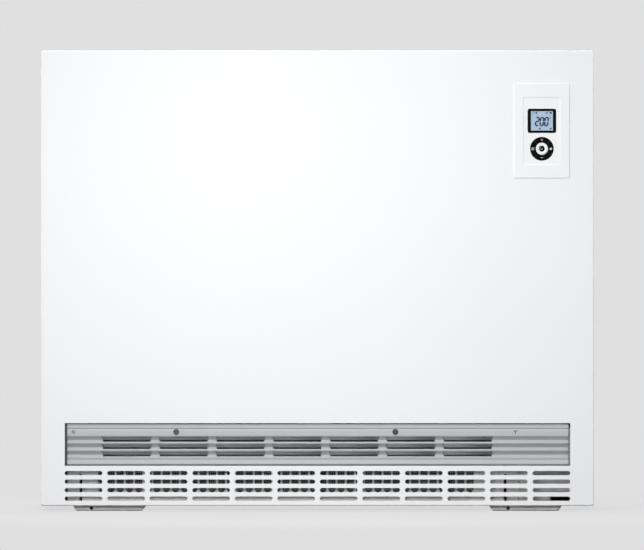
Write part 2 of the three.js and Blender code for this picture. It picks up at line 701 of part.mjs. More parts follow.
// A foot: a pressed pan with sloping sides that stands on its flat floor, with a hole in its front wall.
function foot(name, x) {
  const [top, bottom] = [FOOT_TOP_WIDTH / 2, FOOT_BOTTOM_WIDTH / 2];
  const slope = (top - bottom) / FOOT_HEIGHT;
  const trapezium = (inset, low, high) =>
    outline([
      [-bottom - slope * low + inset, low],
      [bottom + slope * low - inset, low],
      [bottom + slope * high - inset, high],
      [-bottom - slope * high + inset, high],
    ]);
  const front = sideFront + SHEET + SEAT_GAP;
  const rear = wallPlane - FOOT_END_MARGIN;
  const block = alongY(trapezium(0, 0, FOOT_HEIGHT), [front, rear]);
  const hollow = alongY(
    trapezium(FOOT_SHEET, FOOT_SHEET, FOOT_HEIGHT + PAST),
    [front + FOOT_SHEET, rear - FOOT_SHEET],
  );
  const frontWall = [front - PAST, front + FOOT_SHEET + PAST];
  const hole = barY(FOOT_HOLE_RADIUS, frontWall, -FOOT_HOLE_OFFSET, FOOT_HOLE_HEIGHT, 12);
  const made = piece(name, cut(block, hollow, hole), GALVANISED);
  made.position.x = x;
  return made;
}

// A wall bracket: a Z of flat steel from the rear panel out to the wall.
function wallBracket(name, x) {
  const top = coverBottom - BRACKET_TOP_BELOW_COVER;
  const near = rearFace + SEAT_GAP + BRACKET_SHEET / 2;
  const far = wallPlane - BRACKET_SHEET / 2;
  const knee = top - BRACKET_LEG;
  const section = foldedSheet(
    [
      [near, knee - BRACKET_LEG],
      [near, knee],
      [far, knee],
      [far, top],
    ],
    BRACKET_SHEET,
  );
  const strip = alongX(section, [-BRACKET_WIDTH / 2, BRACKET_WIDTH / 2]);
  const holeZ = knee + BRACKET_LEG / 2 + BRACKET_SHEET / 2;
  const wallHole = barY(BRACKET_HOLE_RADIUS, [far - BRACKET_SHEET, far + BRACKET_SHEET], 0, holeZ, 12);
  const panelHole = barY(
    BRACKET_SCREW_RADIUS,
    [near - BRACKET_SHEET, near + BRACKET_SHEET],
    0,
    knee - BRACKET_LEG / 2,
    10,
  );
  const made = piece(name, cut(strip, wallHole, panelHole), GALVANISED);
  made.position.x = x;
  return made;
}

// ---- Outlet grille and its locks -------------------------------------------------------------------

// Heights of the grille's noses: the flat band's lower edge, then the lower edge of each groove.
const noseHeights = Array.from(
  { length: LOUVRE_COUNT + 1 },
  (_, i) => windowTop - GRILLE_BAND_DROP - i * LOUVRE_PITCH,
);

// The grille's folded section, from its top flange down over the band and the louvres to its foot.
function grilleSection() {
  const face = frontFace + GRILLE_FACE_DEPTH;
  const groove = frontFace + GRILLE_GROOVE_DEPTH;
  const back = frontFace + GRILLE_FLANGE_DEPTH;
  const top = windowTop - GRILLE_END_GAP - GRILLE_SHEET / 2;
  const foot = WINDOW_BOTTOM + GRILLE_END_GAP + GRILLE_SHEET / 2;
  const points = [
    [back, top],
    [face + GRILLE_RIM_SETBACK, top],
    [face + GRILLE_RIM_SETBACK, top - GRILLE_RIM_HEIGHT],
    ...GRILLE_BEAD.map((drop) => [face, top - drop]),
    ...GRILLE_FLUTE.map((drop) => [face + GRILLE_FLUTE_DEPTH, top - drop]),
    [face, top - GRILLE_BAND_TOP],
  ];
  for (const nose of noseHeights.slice(0, LOUVRE_COUNT)) {
    points.push([face, nose], [groove, nose - LOUVRE_GROOVE_DROP]);
  }
  points.push([face, noseHeights[LOUVRE_COUNT]]);
  points.push([face, foot + GRILLE_FOOT_RISE], [face + GRILLE_FOOT_RISE, foot], [back, foot]);
  return foldedSheet(points, GRILLE_SHEET);
}

function outletGrille() {
  const bar = alongX(grilleSection(), [grilleLeft, grilleRight]);
  const slots = [];
  const vanes = [];
  for (const nose of noseHeights.slice(0, LOUVRE_COUNT)) {
    const vane = foldedSheet(
      [
        [frontFace + GRILLE_FACE_DEPTH + GRILLE_SHEET / 2, nose - VANE_DROP[0]],
        [frontFace + VANE_DEPTH, nose - VANE_DROP[1]],
      ],
      GRILLE_SHEET,
    );
    for (let column = 0; column < OUTLET_COLUMNS; column++) {
      const x = windowLeft + OUTLET_FIRST_SLOT + column * OUTLET_PITCH;
      const height = [nose - LOUVRE_SLOT[1], nose - LOUVRE_SLOT[0]];
      slots.push(box([x, x + OUTLET_SLOT_LENGTH], [frontFace, frontFace + 2 * VANE_DEPTH], height));
      vanes.push(alongX(vane, [x + VANE_END_GAP, x + OUTLET_SLOT_LENGTH - VANE_END_GAP]));
    }
  }
  const lockHole = LOCK_SHANK_RADIUS + LOCK_HOLE_CLEARANCE;
  const locks = [LOCK_LEFT_X, LOCK_RIGHT_X].map((x) =>
    barY(lockHole, [frontFace, frontFace + GRILLE_GROOVE_DEPTH], x, lockZ, 8),
  );
  return piece("outlet_grille", join(cut(bar, ...slots, ...locks), ...vanes), GREY_ALUMINIUM);
}

// A quarter-turn lock, upright when it is shut: a slotted head, a shank and a cam behind the shelf's lip.
function grilleLock(name, x) {
  const headBack = GRILLE_FACE_DEPTH - GRILLE_SHEET / 2 - SEAT_GAP;
  const headFront = headBack - LOCK_HEAD_THICKNESS;
  const camFront = SHELF_FRONT + SHELF_SHEET + SEAT_GAP;
  const camBack = camFront + LOCK_CAM_THICKNESS;
  const head = barY(LOCK_HEAD_RADIUS, [headFront, headBack], 0, 0, 16);
  const driver = box(
    [-LOCK_HEAD_RADIUS - PAST, LOCK_HEAD_RADIUS + PAST],
    [headFront - PAST, headFront + LOCK_SLOT_DEPTH],
    [-LOCK_SLOT_WIDTH / 2, LOCK_SLOT_WIDTH / 2],
  );
  const shank = barY(LOCK_SHANK_RADIUS, [headBack - INTO, camBack], 0, 0, 10);
  const cam = box(
    [-LOCK_CAM_WIDTH / 2, LOCK_CAM_WIDTH / 2],
    [camFront, camBack],
    [-LOCK_CAM_WIDTH / 2, LOCK_CAM_REACH],
  );
  const made = piece(name, join(cut(head, driver), shank, cam), DARK_STEEL);
  made.position.set(x, frontFace, lockZ);
  return made;
}

// ---- Steelwork inside ------------------------------------------------------------------------------

// A rail beside the fan drawer that carries the shelf; side is -1 on the left, 1 on the right.
function bayRail(name, inner, side) {
  const outer = inner + side * RAIL_FLANGE;
  const span = (a, b) => [Math.min(a, b), Math.max(a, b)];
  const [bottom, top] = [baseTop + SEAT_GAP, SHELF_HEIGHT - SEAT_GAP];
  const depth = [railFront, rearInner - BASE_SHEET - SEAT_GAP];
  const web = box(span(inner, inner + side * RAIL_SHEET), depth, [bottom, top]);
  const front = box(span(inner, outer), [railFront, railFront + RAIL_SHEET], [bottom, top]);
  const upper = box(span(inner, outer), depth, [top - RAIL_SHEET, top]);
  const lower = box(span(inner, outer), depth, [bottom, bottom + RAIL_SHEET]);
  return piece(name, join(web, front, upper, lower), GALVANISED);
}

// The long slots that line up with the core's air channels, in the shelf and the insulation under it.
function airSlots(clearance, heights) {
  const [left, right] = [coreLeft + BRICK_CHAMFER, coreRight - BRICK_CHAMFER];
  return [-1, 1].map((side) => {
    const reach = AIR_SLOT_WIDTH / 2 + clearance;
    return box([left, right], [side * AIR_SLOT_Y - reach, side * AIR_SLOT_Y + reach], heights);
  });
}

function coreShelf() {
  const [left, right] = [-innerX + SEAT_GAP, partitionX - SEAT_GAP];
  const plate = box([left, right], [shelfFront, rearInner], [SHELF_HEIGHT, shelfTop]);
  const lipDepth = [shelfFront, shelfFront + SHELF_SHEET];
  const lip = box([left, right], lipDepth, [SHELF_HEIGHT - SHELF_LIP, shelfTop]);
  const slots = airSlots(DUCT_SLOT_CLEARANCE, [SHELF_HEIGHT - PAST, shelfTop + PAST]);
  return piece("core_shelf", cut(join(plate, lip), ...slots), GALVANISED);
}

// Heights of the three element layers, each between two rows of bricks.
const elementHeights = Array.from(
  { length: brickRows - 1 },
  (_, i) => coreBottom + (i + 1) * brickPitchZ - SEAT_GAP / 2,
);

// Round holes on every element leg, through whatever lies between two limits on X.
function elementHoles(radius, across) {
  return elementHeights.flatMap((z) =>
    [-ELEMENT_LEG_Y, ELEMENT_LEG_Y].map((y) => barX(radius, across, y, z, 8)),
  );
}

// The wall between the core and the switch bay, pierced for the elements.
function partitionPanel() {
  const front = railFront + RAIL_SHEET + SEAT_GAP;
  const section = outline([
    [partitionX, front],
    [partitionX + SHEET + PANEL_FLANGE, front],
    [partitionX + SHEET + PANEL_FLANGE, front + SHEET],
    [partitionX + SHEET, front + SHEET],
    [partitionX + SHEET, rearInner - BASE_SHEET - SEAT_GAP],
    [partitionX, rearInner - BASE_SHEET - SEAT_GAP],
  ]);
  const wall = alongZ(section, [baseTop + SEAT_GAP, insulationTop]);
  const holes = elementHoles(ELEMENT_BEAD_RADIUS + ELEMENT_HOLE_CLEARANCE, [
    partitionX - PAST,
    partitionX + SHEET + PAST,
  ]);
  return piece("partition_panel", cut(wall, ...holes), GALVANISED);
}

// ---- Storage core ----------------------------------------------------------------------------------

// One brick, in its own frame: air channels from top to bottom, and half-round element grooves on both faces.
function brickSolid() {
  const [w, d] = [BRICK_LENGTH / 2, BRICK_DEPTH / 2];
  const c = BRICK_CHAMFER;
  const plan = outline([
    [w, c - d], [w, d - c], [w - c, d], [c - w, d], [-w, d - c], [-w, c - d], [c - w, -d], [w - c, -d],
  ]);
  for (const y of [-AIR_SLOT_Y, AIR_SLOT_Y]) {
    plan.holes.push(slotShape(0, y, AIR_SLOT_LENGTH, AIR_SLOT_WIDTH, 2));
  }
  const grooves = [0, BRICK_HEIGHT].flatMap((z) =>
    [-ELEMENT_LEG_Y, ELEMENT_LEG_Y].map((y) => barX(ELEMENT_GROOVE_RADIUS, [-w - PAST, w + PAST], y, z, 6)),
  );
  return cut(alongZ(plan, [0, BRICK_HEIGHT]), ...grooves);
}

function bricks() {
  const shared = geometryOf(brickSolid());
  const group = new THREE.Group();
  group.position.set(coreLeft + BRICK_LENGTH / 2, 0, coreBottom);
  for (let row = 0; row < brickRows; row++) {
    for (let column = 0; column < BRICK_COLUMNS; column++) {
      const brick = piece(`storage_brick_${row + 1}_${column + 1}`, shared, BRICK_CERAMIC);
      brick.position.set(column * brickPitchX, 0, row * brickPitchZ);
      group.add(brick);
    }
  }
  return group;
}

// A path whose equal steps fall on its listed points, so that straight runs take one step each.
class RoutedLine extends THREE.Curve {
  constructor(points) {
    super();
    this.points = points;
  }

  getPoint(t, target = new THREE.Vector3()) {
    const place = t * (this.points.length - 1);
    const i = Math.min(Math.floor(place), this.points.length - 2);
    return target.lerpVectors(this.points[i], this.points[i + 1], place - i);
  }

  getPointAt(u, target) {
    return this.getPoint(u, target);
  }

  getTangentAt(u, target = new THREE.Vector3()) {
    const nudge = 0.5 / (this.points.length - 1);
    const [a, b] = [Math.max(0, u - nudge), Math.min(1, u + nudge)];
    return target.subVectors(this.getPoint(b), this.getPoint(a)).normalize();
  }
}

// A hairpin heating element: two legs along X, a round bend at the left, and a bead and stud on each leg.
function heatingElement(name, z) {
  const tail = partitionX + SHEET + ELEMENT_TAIL;
  const bendX = coreLeft - SEAT_GAP;
  const bendSteps = 6;
  const points = [new THREE.Vector3(tail, -ELEMENT_LEG_Y, 0)];
  for (let i = 0; i <= bendSteps; i++) {
    const angle = Math.PI * (1.5 - i / bendSteps);
    points.push(
      new THREE.Vector3(bendX + ELEMENT_LEG_Y * Math.cos(angle), ELEMENT_LEG_Y * Math.sin(angle), 0),
    );
  }
  points.push(new THREE.Vector3(tail, ELEMENT_LEG_Y, 0));
  const ring = new THREE.Shape();
  ring.absarc(0, 0, ELEMENT_RADIUS, 0, Math.PI * 2);
  const tube = new THREE.ExtrudeGeometry(ring, {
    steps: points.length - 1,
    extrudePath: new RoutedLine(points),
    bevelEnabled: false,
    curveSegments: 4,
  });
  const beadStart = partitionX - ELEMENT_BEAD_LENGTH / 2;
  const fittings = [-ELEMENT_LEG_Y, ELEMENT_LEG_Y].flatMap((y) => [
    barX(ELEMENT_BEAD_RADIUS, [beadStart, beadStart + ELEMENT_BEAD_LENGTH], y, 0, 8),
    barX(ELEMENT_STUD_RADIUS, [tail - INTO, tail + ELEMENT_STUD_LENGTH], y, 0, 6),
  ]);
  const made = piece(name, join(solidOf(tube), ...fittings), ELEMENT_STEEL);
  made.position.z = z;
  return made;
}

// ---- Insulation ------------------------------------------------------------------------------------

const insulationLeft = -innerX + SEAT_GAP;
const insulationRight = partitionX - SEAT_GAP;
const frontBoardFront = sideFront + SHEET + SEAT_GAP;

function bottomInsulation() {
  const board = box(
    [insulationLeft, insulationRight],
    [coreFront, rearInner],
    [shelfTop + SEAT_GAP, coreBottom - SEAT_GAP],
  );
  const slots = airSlots(0, [shelfTop, coreBottom]);
  return piece("bottom_insulation", cut(board, ...slots), INSULATION_BOARD);
}

function topInsulation() {
  const board = box(
    [insulationLeft, insulationRight],
    [frontBoardFront, rearInner],
    [coreTop + SEAT_GAP, insulationTop],
  );
  const turn = box(
    [coreLeft + BRICK_CHAMFER, coreRight - BRICK_CHAMFER],
    [-AIR_SLOT_Y - AIR_SLOT_WIDTH / 2, AIR_SLOT_Y + AIR_SLOT_WIDTH / 2],
    [coreTop, coreTop + SEAT_GAP + AIR_TURN_HEIGHT],
  );
  return piece("top_insulation", cut(board, turn), INSULATION_BOARD);
}

function frontInsulation() {
  const board = box(
    [insulationLeft, insulationRight],
    [frontBoardFront, coreFront - SEAT_GAP],
    [shelfTop + SEAT_GAP, coreTop],
  );
  return piece("front_insulation", board, INSULATION_BOARD);
}

function rearInsulation() {
  const board = box(
    [insulationLeft, insulationRight],
    [coreRear + SEAT_GAP, rearInner],
    [coreBottom, coreTop],
  );
  return piece("rear_insulation", board, INSULATION_BOARD);
}

// The left board has a pocket for the bend of each element.
function leftInsulation() {
  const board = box([insulationLeft, coreLeft - SEAT_GAP], [coreFront, coreRear], [coreBottom, coreTop]);
  const reach = ELEMENT_RADIUS + ELEMENT_BEND_POCKET_CLEARANCE;
  const pockets = elementHeights.map((z) =>
    box(
      [coreLeft - SEAT_GAP - ELEMENT_LEG_Y - reach, coreLeft],
      [-ELEMENT_LEG_Y - reach, ELEMENT_LEG_Y + reach],
      [z - reach, z + reach],
    ),
  );
  return piece("left_insulation", cut(board, ...pockets), INSULATION_BOARD);
}

function rightInsulation() {
  const board = box([coreRight + SEAT_GAP, insulationRight], [coreFront, coreRear], [coreBottom, coreTop]);
  const holes = elementHoles(ELEMENT_BEAD_RADIUS + SEAT_GAP, [coreRight, insulationRight + PAST]);
  return piece("right_insulation", cut(board, ...holes), INSULATION_BOARD);
}

// ---- Fan drawer ------------------------------------------------------------------------------------

// The drawer's front sheet: ears over the rails, and a row of upright intake slots.
function drawerFrontSheet() {
  const earBottom = drawerTop - DRAWER_EAR_HEIGHT;
  const [earLeft, earRight] = [BAY_LEFT - DRAWER_EAR_REACH, BAY_RIGHT + DRAWER_EAR_REACH];
  const ledge = drawerBottom + DRAWER_LIP_HEIGHT - DRAWER_SHEET;
  const sheet = outline([
    [drawerLeft, ledge],
    [drawerRight, ledge],
    [drawerRight, earBottom],
    [earRight, earBottom],
    [earRight, drawerTop],
    [earLeft, drawerTop],
    [earLeft, earBottom],
    [drawerLeft, earBottom],
  ]);
  const z = drawerTop - INTAKE_TOP_MARGIN - INTAKE_HEIGHT / 2;
  for (let i = 0; i < INTAKE_COUNT; i++) {
    const x = intakeLeft + INTAKE_WIDTH / 2 + i * INTAKE_PITCH;
    sheet.holes.push(slotShape(x, z, INTAKE_HEIGHT, INTAKE_WIDTH, INTAKE_END_STEPS, true));
  }
  return alongY(sheet, [drawerFront, drawerFront + DRAWER_SHEET]);
}

function fanDrawer() {
  const across = [drawerLeft, drawerRight];
  const lipFront = drawerFront - DRAWER_LIP_STEP;
  const lipTop = drawerBottom + DRAWER_LIP_HEIGHT;
  const floor = box(across, [lipFront, drawerRear], [drawerBottom, drawerFloor]);
  const lip = box(across, [lipFront, lipFront + DRAWER_SHEET], [drawerBottom, lipTop]);
  const ledge = box(across, [lipFront, drawerFront + DRAWER_SHEET], [lipTop - DRAWER_SHEET, lipTop]);
  const wallDepth = [drawerFront, drawerRear];
  const wallRise = [drawerBottom, drawerBottom + DRAWER_SIDE_HEIGHT];
  const left = box([drawerLeft, drawerLeft + DRAWER_SHEET], wallDepth, wallRise);
  const right = box([drawerRight - DRAWER_SHEET, drawerRight], wallDepth, wallRise);
  const rearRise = [drawerBottom, drawerBottom + DRAWER_REAR_HEIGHT];
  const rear = box(across, [drawerRear - DRAWER_SHEET, drawerRear], rearRise);
  return piece("fan_drawer", join(drawerFrontSheet(), floor, lip, ledge, left, right, rear), GALVANISED);
}

// The filter's frame with its supporting bars.
function fluffFilter() {
  const front = drawerFront + DRAWER_SHEET + SEAT_GAP;
  const [left, right] = [intakeLeft - FILTER_OVERLAP, intakeRight + FILTER_OVERLAP];
  const [bottom, top] = [drawerBottom + DRAWER_LIP_HEIGHT + SEAT_GAP, drawerTop];
  const depth = [front, front + FILTER_THICKNESS];
  const frame = box([left, right], depth, [drawerFloor + SEAT_GAP, top]);
  const cellWidth = (right - left - 2 * FILTER_BORDER + FILTER_BAR) / FILTER_COLUMNS;
  const cellHeight = (top - bottom - 2 * FILTER_BORDER + FILTER_BAR) / FILTER_ROWS;
  const cells = [];
  for (let column = 0; column < FILTER_COLUMNS; column++) {
    for (let row = 0; row < FILTER_ROWS; row++) {
      const x = left + FILTER_BORDER + column * cellWidth;
      const z = bottom + FILTER_BORDER + row * cellHeight;
      const across = [x, x + cellWidth - FILTER_BAR];
      cells.push(box(across, [front - PAST, depth[1] + PAST], [z, z + cellHeight - FILTER_BAR]));
    }
  }
  return piece("fluff_filter", cut(frame, ...cells), FILTER_PLASTIC);
}

// The sheet that wraps the impeller: a spiral that opens out from the bottom to the rear, the tongue
// at its top front, and a cheek at each end.
function fanScroll() {
  const top = drawerTop - INTO;
  const start = Math.PI * SCROLL_START;
  const spiral = [];
  for (let i = 0; i <= SCROLL_STEPS; i++) {
    const share = i / SCROLL_STEPS;
    const angle = start + share * (Math.PI * 2 - start);
    const radius = FAN_RADIUS + SCROLL_MIN_GAP + (SCROLL_MAX_GAP - SCROLL_MIN_GAP) * share * share;
    spiral.push([FAN_Y + radius * Math.cos(angle), FAN_Z + radius * Math.sin(angle)]);
  }
  spiral.push([FAN_Y + FAN_RADIUS + SCROLL_MAX_GAP, top]);
  const tongueY = FAN_Y - TONGUE_OFFSET;
  const tongue = [
    [tongueY, FAN_Z + Math.sqrt((FAN_RADIUS + TONGUE_GAP) ** 2 - TONGUE_OFFSET ** 2)],
    [tongueY, top],
    [tongueY - TONGUE_FLANGE, top],
  ];
  const across = [cheekLeft, cheekRight];
  const cheekFront = FAN_Y - FAN_RADIUS - CHEEK_MARGIN;
  const cheekRear = FAN_Y + FAN_RADIUS + SCROLL_MAX_GAP + SCROLL_SHEET;
  const cheekRise = [drawerFloor + SEAT_GAP, top + SCROLL_SHEET / 2];
  const hole = SHAFT_RADIUS + CHEEK_HOLE_CLEARANCE;
  const cheeks = [
    [cheekLeft, cheekLeft + SCROLL_SHEET],
    [cheekRight - SCROLL_SHEET, cheekRight],
  ].map((span) =>
    cut(
      box(span, [cheekFront, cheekRear], cheekRise),
      barX(hole, [span[0] - PAST, span[1] + PAST], FAN_Y, FAN_Z, 12),
    ),
  );
  const sheets = [spiral, tongue].map((points) => alongX(foldedSheet(points, SCROLL_SHEET), across));
  return piece("fan_scroll", join(...sheets, ...cheeks), GALVANISED);
}

// One blade's section in the impeller's plane: a bowed strip from root to tip.
function bladeSection(angle) {
  const root = FAN_RADIUS - BLADE_DEPTH;
  const line = [0, 0.5, 1].map((share) => {
    const radius = root + share * (BLADE_DEPTH - BLADE_THICKNESS / 2);
    const turn = angle + BLADE_SWEEP * share + BLADE_BOW * (1 - (2 * share - 1) ** 2);
    return [radius * Math.cos(turn), radius * Math.sin(turn)];
  });
  return foldedSheet(line, BLADE_THICKNESS);
}

// The impeller, in its own frame on the fan's axis: discs, blades and a stub shaft at each end.
function fanImpeller() {
  const left = cheekLeft + SCROLL_SHEET + IMPELLER_END_GAP;
  const right = cheekRight - SCROLL_SHEET - IMPELLER_END_GAP;
  const blades = Array.from({ length: BLADE_COUNT }, (_, i) =>
    alongX(bladeSection((i / BLADE_COUNT) * Math.PI * 2), [left, right]),
  );
  const discs = Array.from({ length: DISC_COUNT }, (_, i) => {
    const x = left + (i / (DISC_COUNT - 1)) * (right - left - DISC_THICKNESS);
    return barX(FAN_RADIUS, [x, x + DISC_THICKNESS], 0, 0, 20);
  });
  const leftStub = barX(SHAFT_RADIUS, [cheekLeft - SEAT_GAP - BEARING_LENGTH, left + INTO], 0, 0, 10);
  const rightStub = barX(SHAFT_RADIUS, [right - INTO, cheekRight + SEAT_GAP + MOTOR_STACK], 0, 0, 10);
  const made = piece("fan_impeller", join(...discs, ...blades, leftStub, rightStub), BLACK_PLASTIC);
  made.position.set(0, FAN_Y, FAN_Z);
  return made;
}

// The bearing on the left cheek: a flanged bush, revolved about the fan's axis.
function fanBearing() {
  const bore = SHAFT_RADIUS + SHAFT_CLEARANCE;
  const profile = [
    [bore, 0],
    [BEARING_FLANGE_RADIUS, 0],
    [BEARING_FLANGE_RADIUS, BEARING_FLANGE],
    [BEARING_RADIUS, BEARING_FLANGE],
    [BEARING_RADIUS, BEARING_LENGTH],
    [bore, BEARING_LENGTH],
    [bore, 0],
  ].map(([radius, along]) => new THREE.Vector2(radius, along));
  const turned = new THREE.LatheGeometry(profile, 12);
  const made = piece("fan_bearing", solidOf(turned), DARK_STEEL);
  made.rotation.z = Math.PI / 2;
  made.position.set(cheekLeft - SEAT_GAP, FAN_Y, FAN_Z);
  return made;
}

// A shaded-pole motor on the right cheek: a laminated stack, its coil and a bearing boss.
function fanMotor() {
  const left = cheekRight + SEAT_GAP;
  const stack = box(
    [left, left + MOTOR_STACK],
    [-MOTOR_WIDTH / 2, MOTOR_WIDTH / 2],
    [-MOTOR_HEIGHT / 2, MOTOR_HEIGHT / 2],
  );
  const coil = alongZ(
    roundedRectangle(
      MOTOR_COIL_LENGTH,
      MOTOR_COIL_WIDTH,
      MOTOR_COIL_RADIUS,
      left + MOTOR_COIL_LENGTH / 2,
      -MOTOR_WIDTH / 2,
    ),
    [-MOTOR_COIL_HEIGHT / 2, MOTOR_COIL_HEIGHT / 2],
    2,
  );
  const bossEnd = left + MOTOR_STACK + MOTOR_BOSS_LENGTH;
  const boss = barX(MOTOR_BOSS_RADIUS, [left + MOTOR_STACK - INTO, bossEnd], 0, 0, 12);
  const boreSpan = [left - PAST, left + MOTOR_STACK + PAST];
  const bore = barX(SHAFT_RADIUS + SHAFT_CLEARANCE, boreSpan, 0, 0, 12);
  const made = piece("fan_motor", cut(join(stack, coil, boss), bore), DARK_STEEL);
  made.position.set(0, FAN_Y, FAN_Z);
  return made;
}

// ---- Air duct --------------------------------------------------------------------------------------

// The duct: an outlet chamber behind the grille, a riser behind it, and a bypass opening between them.
function airDuct() {
  const front = frontFace + DUCT_FRONT;
  const top = SHELF_HEIGHT - SEAT_GAP;
  const across = [DUCT_LEFT, DUCT_RIGHT];
  const half = DUCT_SHEET / 2;
  const corner = [DUCT_WALL_Y, DUCT_FLOOR];
  const floorAndWall = foldedSheet([[front, DUCT_FLOOR], corner, [DUCT_WALL_Y, top]], DUCT_SHEET);
  const bypass = box(
    [BYPASS_LEFT, BYPASS_RIGHT],
    [DUCT_WALL_Y - PAST, DUCT_WALL_Y + PAST],
    [BYPASS_BOTTOM, BYPASS_TOP],
  );
  const sheet = cut(alongX(floorAndWall, across), bypass);
  const rear = box(across, [DUCT_REAR_Y, DUCT_REAR_Y + DUCT_SHEET], [DUCT_FLOOR - half, top]);
  const lip = box(
    [DUCT_LEFT + DUCT_LIP_LEFT_INSET, DUCT_RIGHT - DUCT_LIP_RIGHT_INSET],
    [front, front + DUCT_SHEET],
    [DUCT_FLOOR - half, DUCT_FLOOR + DUCT_LIP_HEIGHT],
  );
  const cheeks = [DUCT_LEFT, DUCT_RIGHT - DUCT_SHEET].map((x) =>
    box([x, x + DUCT_SHEET], [front, DUCT_REAR_Y + DUCT_SHEET], [DUCT_FLOOR - half, top]),
  );
  const ears = flapEarSpans().map((span) =>
    cut(
      box(span, [DUCT_WALL_Y - FLAP_EAR, DUCT_WALL_Y], [flapAxisZ - FLAP_EAR / 2, flapAxisZ + FLAP_EAR / 2]),
      barX(FLAP_PIN_RADIUS + FLAP_PIN_CLEARANCE, [span[0] - PAST, span[1] + PAST], flapAxisY, flapAxisZ, 12),
    ),
  );
  return piece("air_duct", join(sheet, rear, lip, ...cheeks, ...ears), GALVANISED);
}

// Where the two ears that hold the flap's pins stand on the duct's wall.
function flapEarSpans() {
  const reach = FLAP_OVERLAP + FLAP_END_GAP;
  const [left, right] = [BYPASS_LEFT - reach, BYPASS_RIGHT + reach];
  return [
    [left - FLAP_EAR_SHEET, left],
    [right, right + FLAP_EAR_SHEET],
  ];
}

// The flap, in its own frame on its hinge axis: a plate hanging from a rolled edge with a pin at each end.
function mixingFlap() {
  const [left, right] = [BYPASS_LEFT - FLAP_OVERLAP, BYPASS_RIGHT + FLAP_OVERLAP];
  const [leftEar, rightEar] = flapEarSpans();
  const plateRear = DUCT_WALL_Y - DUCT_SHEET / 2 - SEAT_GAP - flapAxisY;
  const plate = box(
    [left, right],
    [plateRear - FLAP_SHEET, plateRear],
    [BYPASS_BOTTOM - FLAP_OVERLAP - flapAxisZ, 0],
  );
  const tube = barX(FLAP_TUBE_RADIUS, [left, right], 0, 0, 12);
  const pin = barX(FLAP_PIN_RADIUS, [leftEar[0] - FLAP_PIN_END, rightEar[1] + FLAP_PIN_END], 0, 0, 12);
  const made = piece("mixing_flap", join(plate, tube, pin), GALVANISED);
  made.position.set(0, flapAxisY, flapAxisZ);
  return made;
}

// The strip that bends as it warms and pushes the flap open: riveted above the bypass, its tip on the flap.
function bimetalStrip() {
  const rootY = DUCT_WALL_Y + DUCT_SHEET / 2 + SEAT_GAP + BIMETAL_THICKNESS / 2;
  const flapRear = DUCT_WALL_Y - DUCT_SHEET / 2 - SEAT_GAP;
  const middle = (BYPASS_TOP + BYPASS_BOTTOM) / 2;
  const section = foldedSheet(
    [
      [rootY, BYPASS_TOP + BIMETAL_SEAT],
      [rootY, middle],
      [rootY + BIMETAL_BOW, middle - 2 * BIMETAL_BOW],
      [flapRear + SEAT_GAP + BIMETAL_THICKNESS / 2, BYPASS_BOTTOM + BIMETAL_BOW],
    ],
    BIMETAL_THICKNESS,
  );
  const strip = alongX(section, [BIMETAL_X - BIMETAL_WIDTH / 2, BIMETAL_X + BIMETAL_WIDTH / 2]);
  const rivetY = [rootY, rootY + 2 * BIMETAL_THICKNESS];
  const rivet = barY(BIMETAL_RIVET_RADIUS, rivetY, BIMETAL_X, BYPASS_TOP + BIMETAL_SEAT / 2, 12);
  return piece("bimetal_strip", join(strip, rivet), DARK_STEEL);
}

// ---- Electrics -------------------------------------------------------------------------------------

// The plate that carries the electrics: its foot steps forward and is notched for the mains cable.
function electricsPlate() {
  const bottom = baseTop + SEAT_GAP;
  const lipTop = bottom + PLATE_LIP_HEIGHT;
  const across = [plateLeft, plateRight];
  const plateBack = plateFront + PLATE_SHEET;
  const lipFront = plateFront - PLATE_LIP_STEP;
  const plateTop = insulationTop - PLATE_TOP_MARGIN;
  const sheet = box(across, [plateFront, plateBack], [lipTop - PLATE_SHEET, plateTop]);
  const ledge = box(across, [lipFront, plateBack], [lipTop - PLATE_SHEET, lipTop]);
  const lip = box(
    [plateLeft, innerX - PLATE_NOTCH_FROM_RIGHT],
    [lipFront, lipFront + PLATE_SHEET],
    [bottom, lipTop],
  );
  return piece("electrics_plate", join(sheet, ledge, lip), GALVANISED);
}

// A box of [width, depth, height] standing forward of a face, centred on x, with its foot at z.
function blockOn(face, [width, depth, height], x, z) {
  return box([x - width / 2, x + width / 2], [face - depth, face], [z, z + height]);
}

// The power board: relays, a heat sink and capacitors on a circuit board with four standoffs.
function powerBoard() {
  const back = plateFront - SEAT_GAP;
  const boardBack = back - BOARD_STANDOFF;
  const boardFront = boardBack - BOARD_THICKNESS;
  const left = plateLeft + PANEL_FLANGE + POWER_BOARD_MARGIN;
  const right = plateRight - POWER_BOARD_MARGIN;
  const middle = (left + right) / 2;
  const top = POWER_BOARD_BOTTOM + POWER_BOARD_HEIGHT;
  const board = box([left, right], [boardFront, boardBack], [POWER_BOARD_BOTTOM, top]);
  const standoffs = [left + STANDOFF_INSET, right - STANDOFF_INSET].flatMap((x) =>
    [POWER_BOARD_BOTTOM + STANDOFF_INSET, top - STANDOFF_INSET].map((z) =>
      barY(STANDOFF_RADIUS, [boardBack - INTO, back], x, z, 8),
    ),
  );
  const relayPitch = (right - left) / RELAY_COUNT;
  const relays = Array.from({ length: RELAY_COUNT }, (_, i) =>
    blockOn(boardFront + INTO, RELAY_SIZE, left + relayPitch * (i + 0.5), POWER_BOARD_BOTTOM + RELAY_RISE),
  );
  const sink = blockOn(boardFront + INTO, HEAT_SINK_SIZE, middle, POWER_BOARD_BOTTOM + HEAT_SINK_RISE);
  const capacitorDepth = [boardFront - CAPACITOR_HEIGHT, boardFront + INTO];
  const capacitors = [-1, 1].map((side) =>
    barY(CAPACITOR_RADIUS, capacitorDepth, middle + side * CAPACITOR_SPREAD, top - CAPACITOR_DROP, 12),
  );
  return piece("power_board", join(board, ...standoffs, ...relays, sink, ...capacitors), CIRCUIT_BOARD);
}

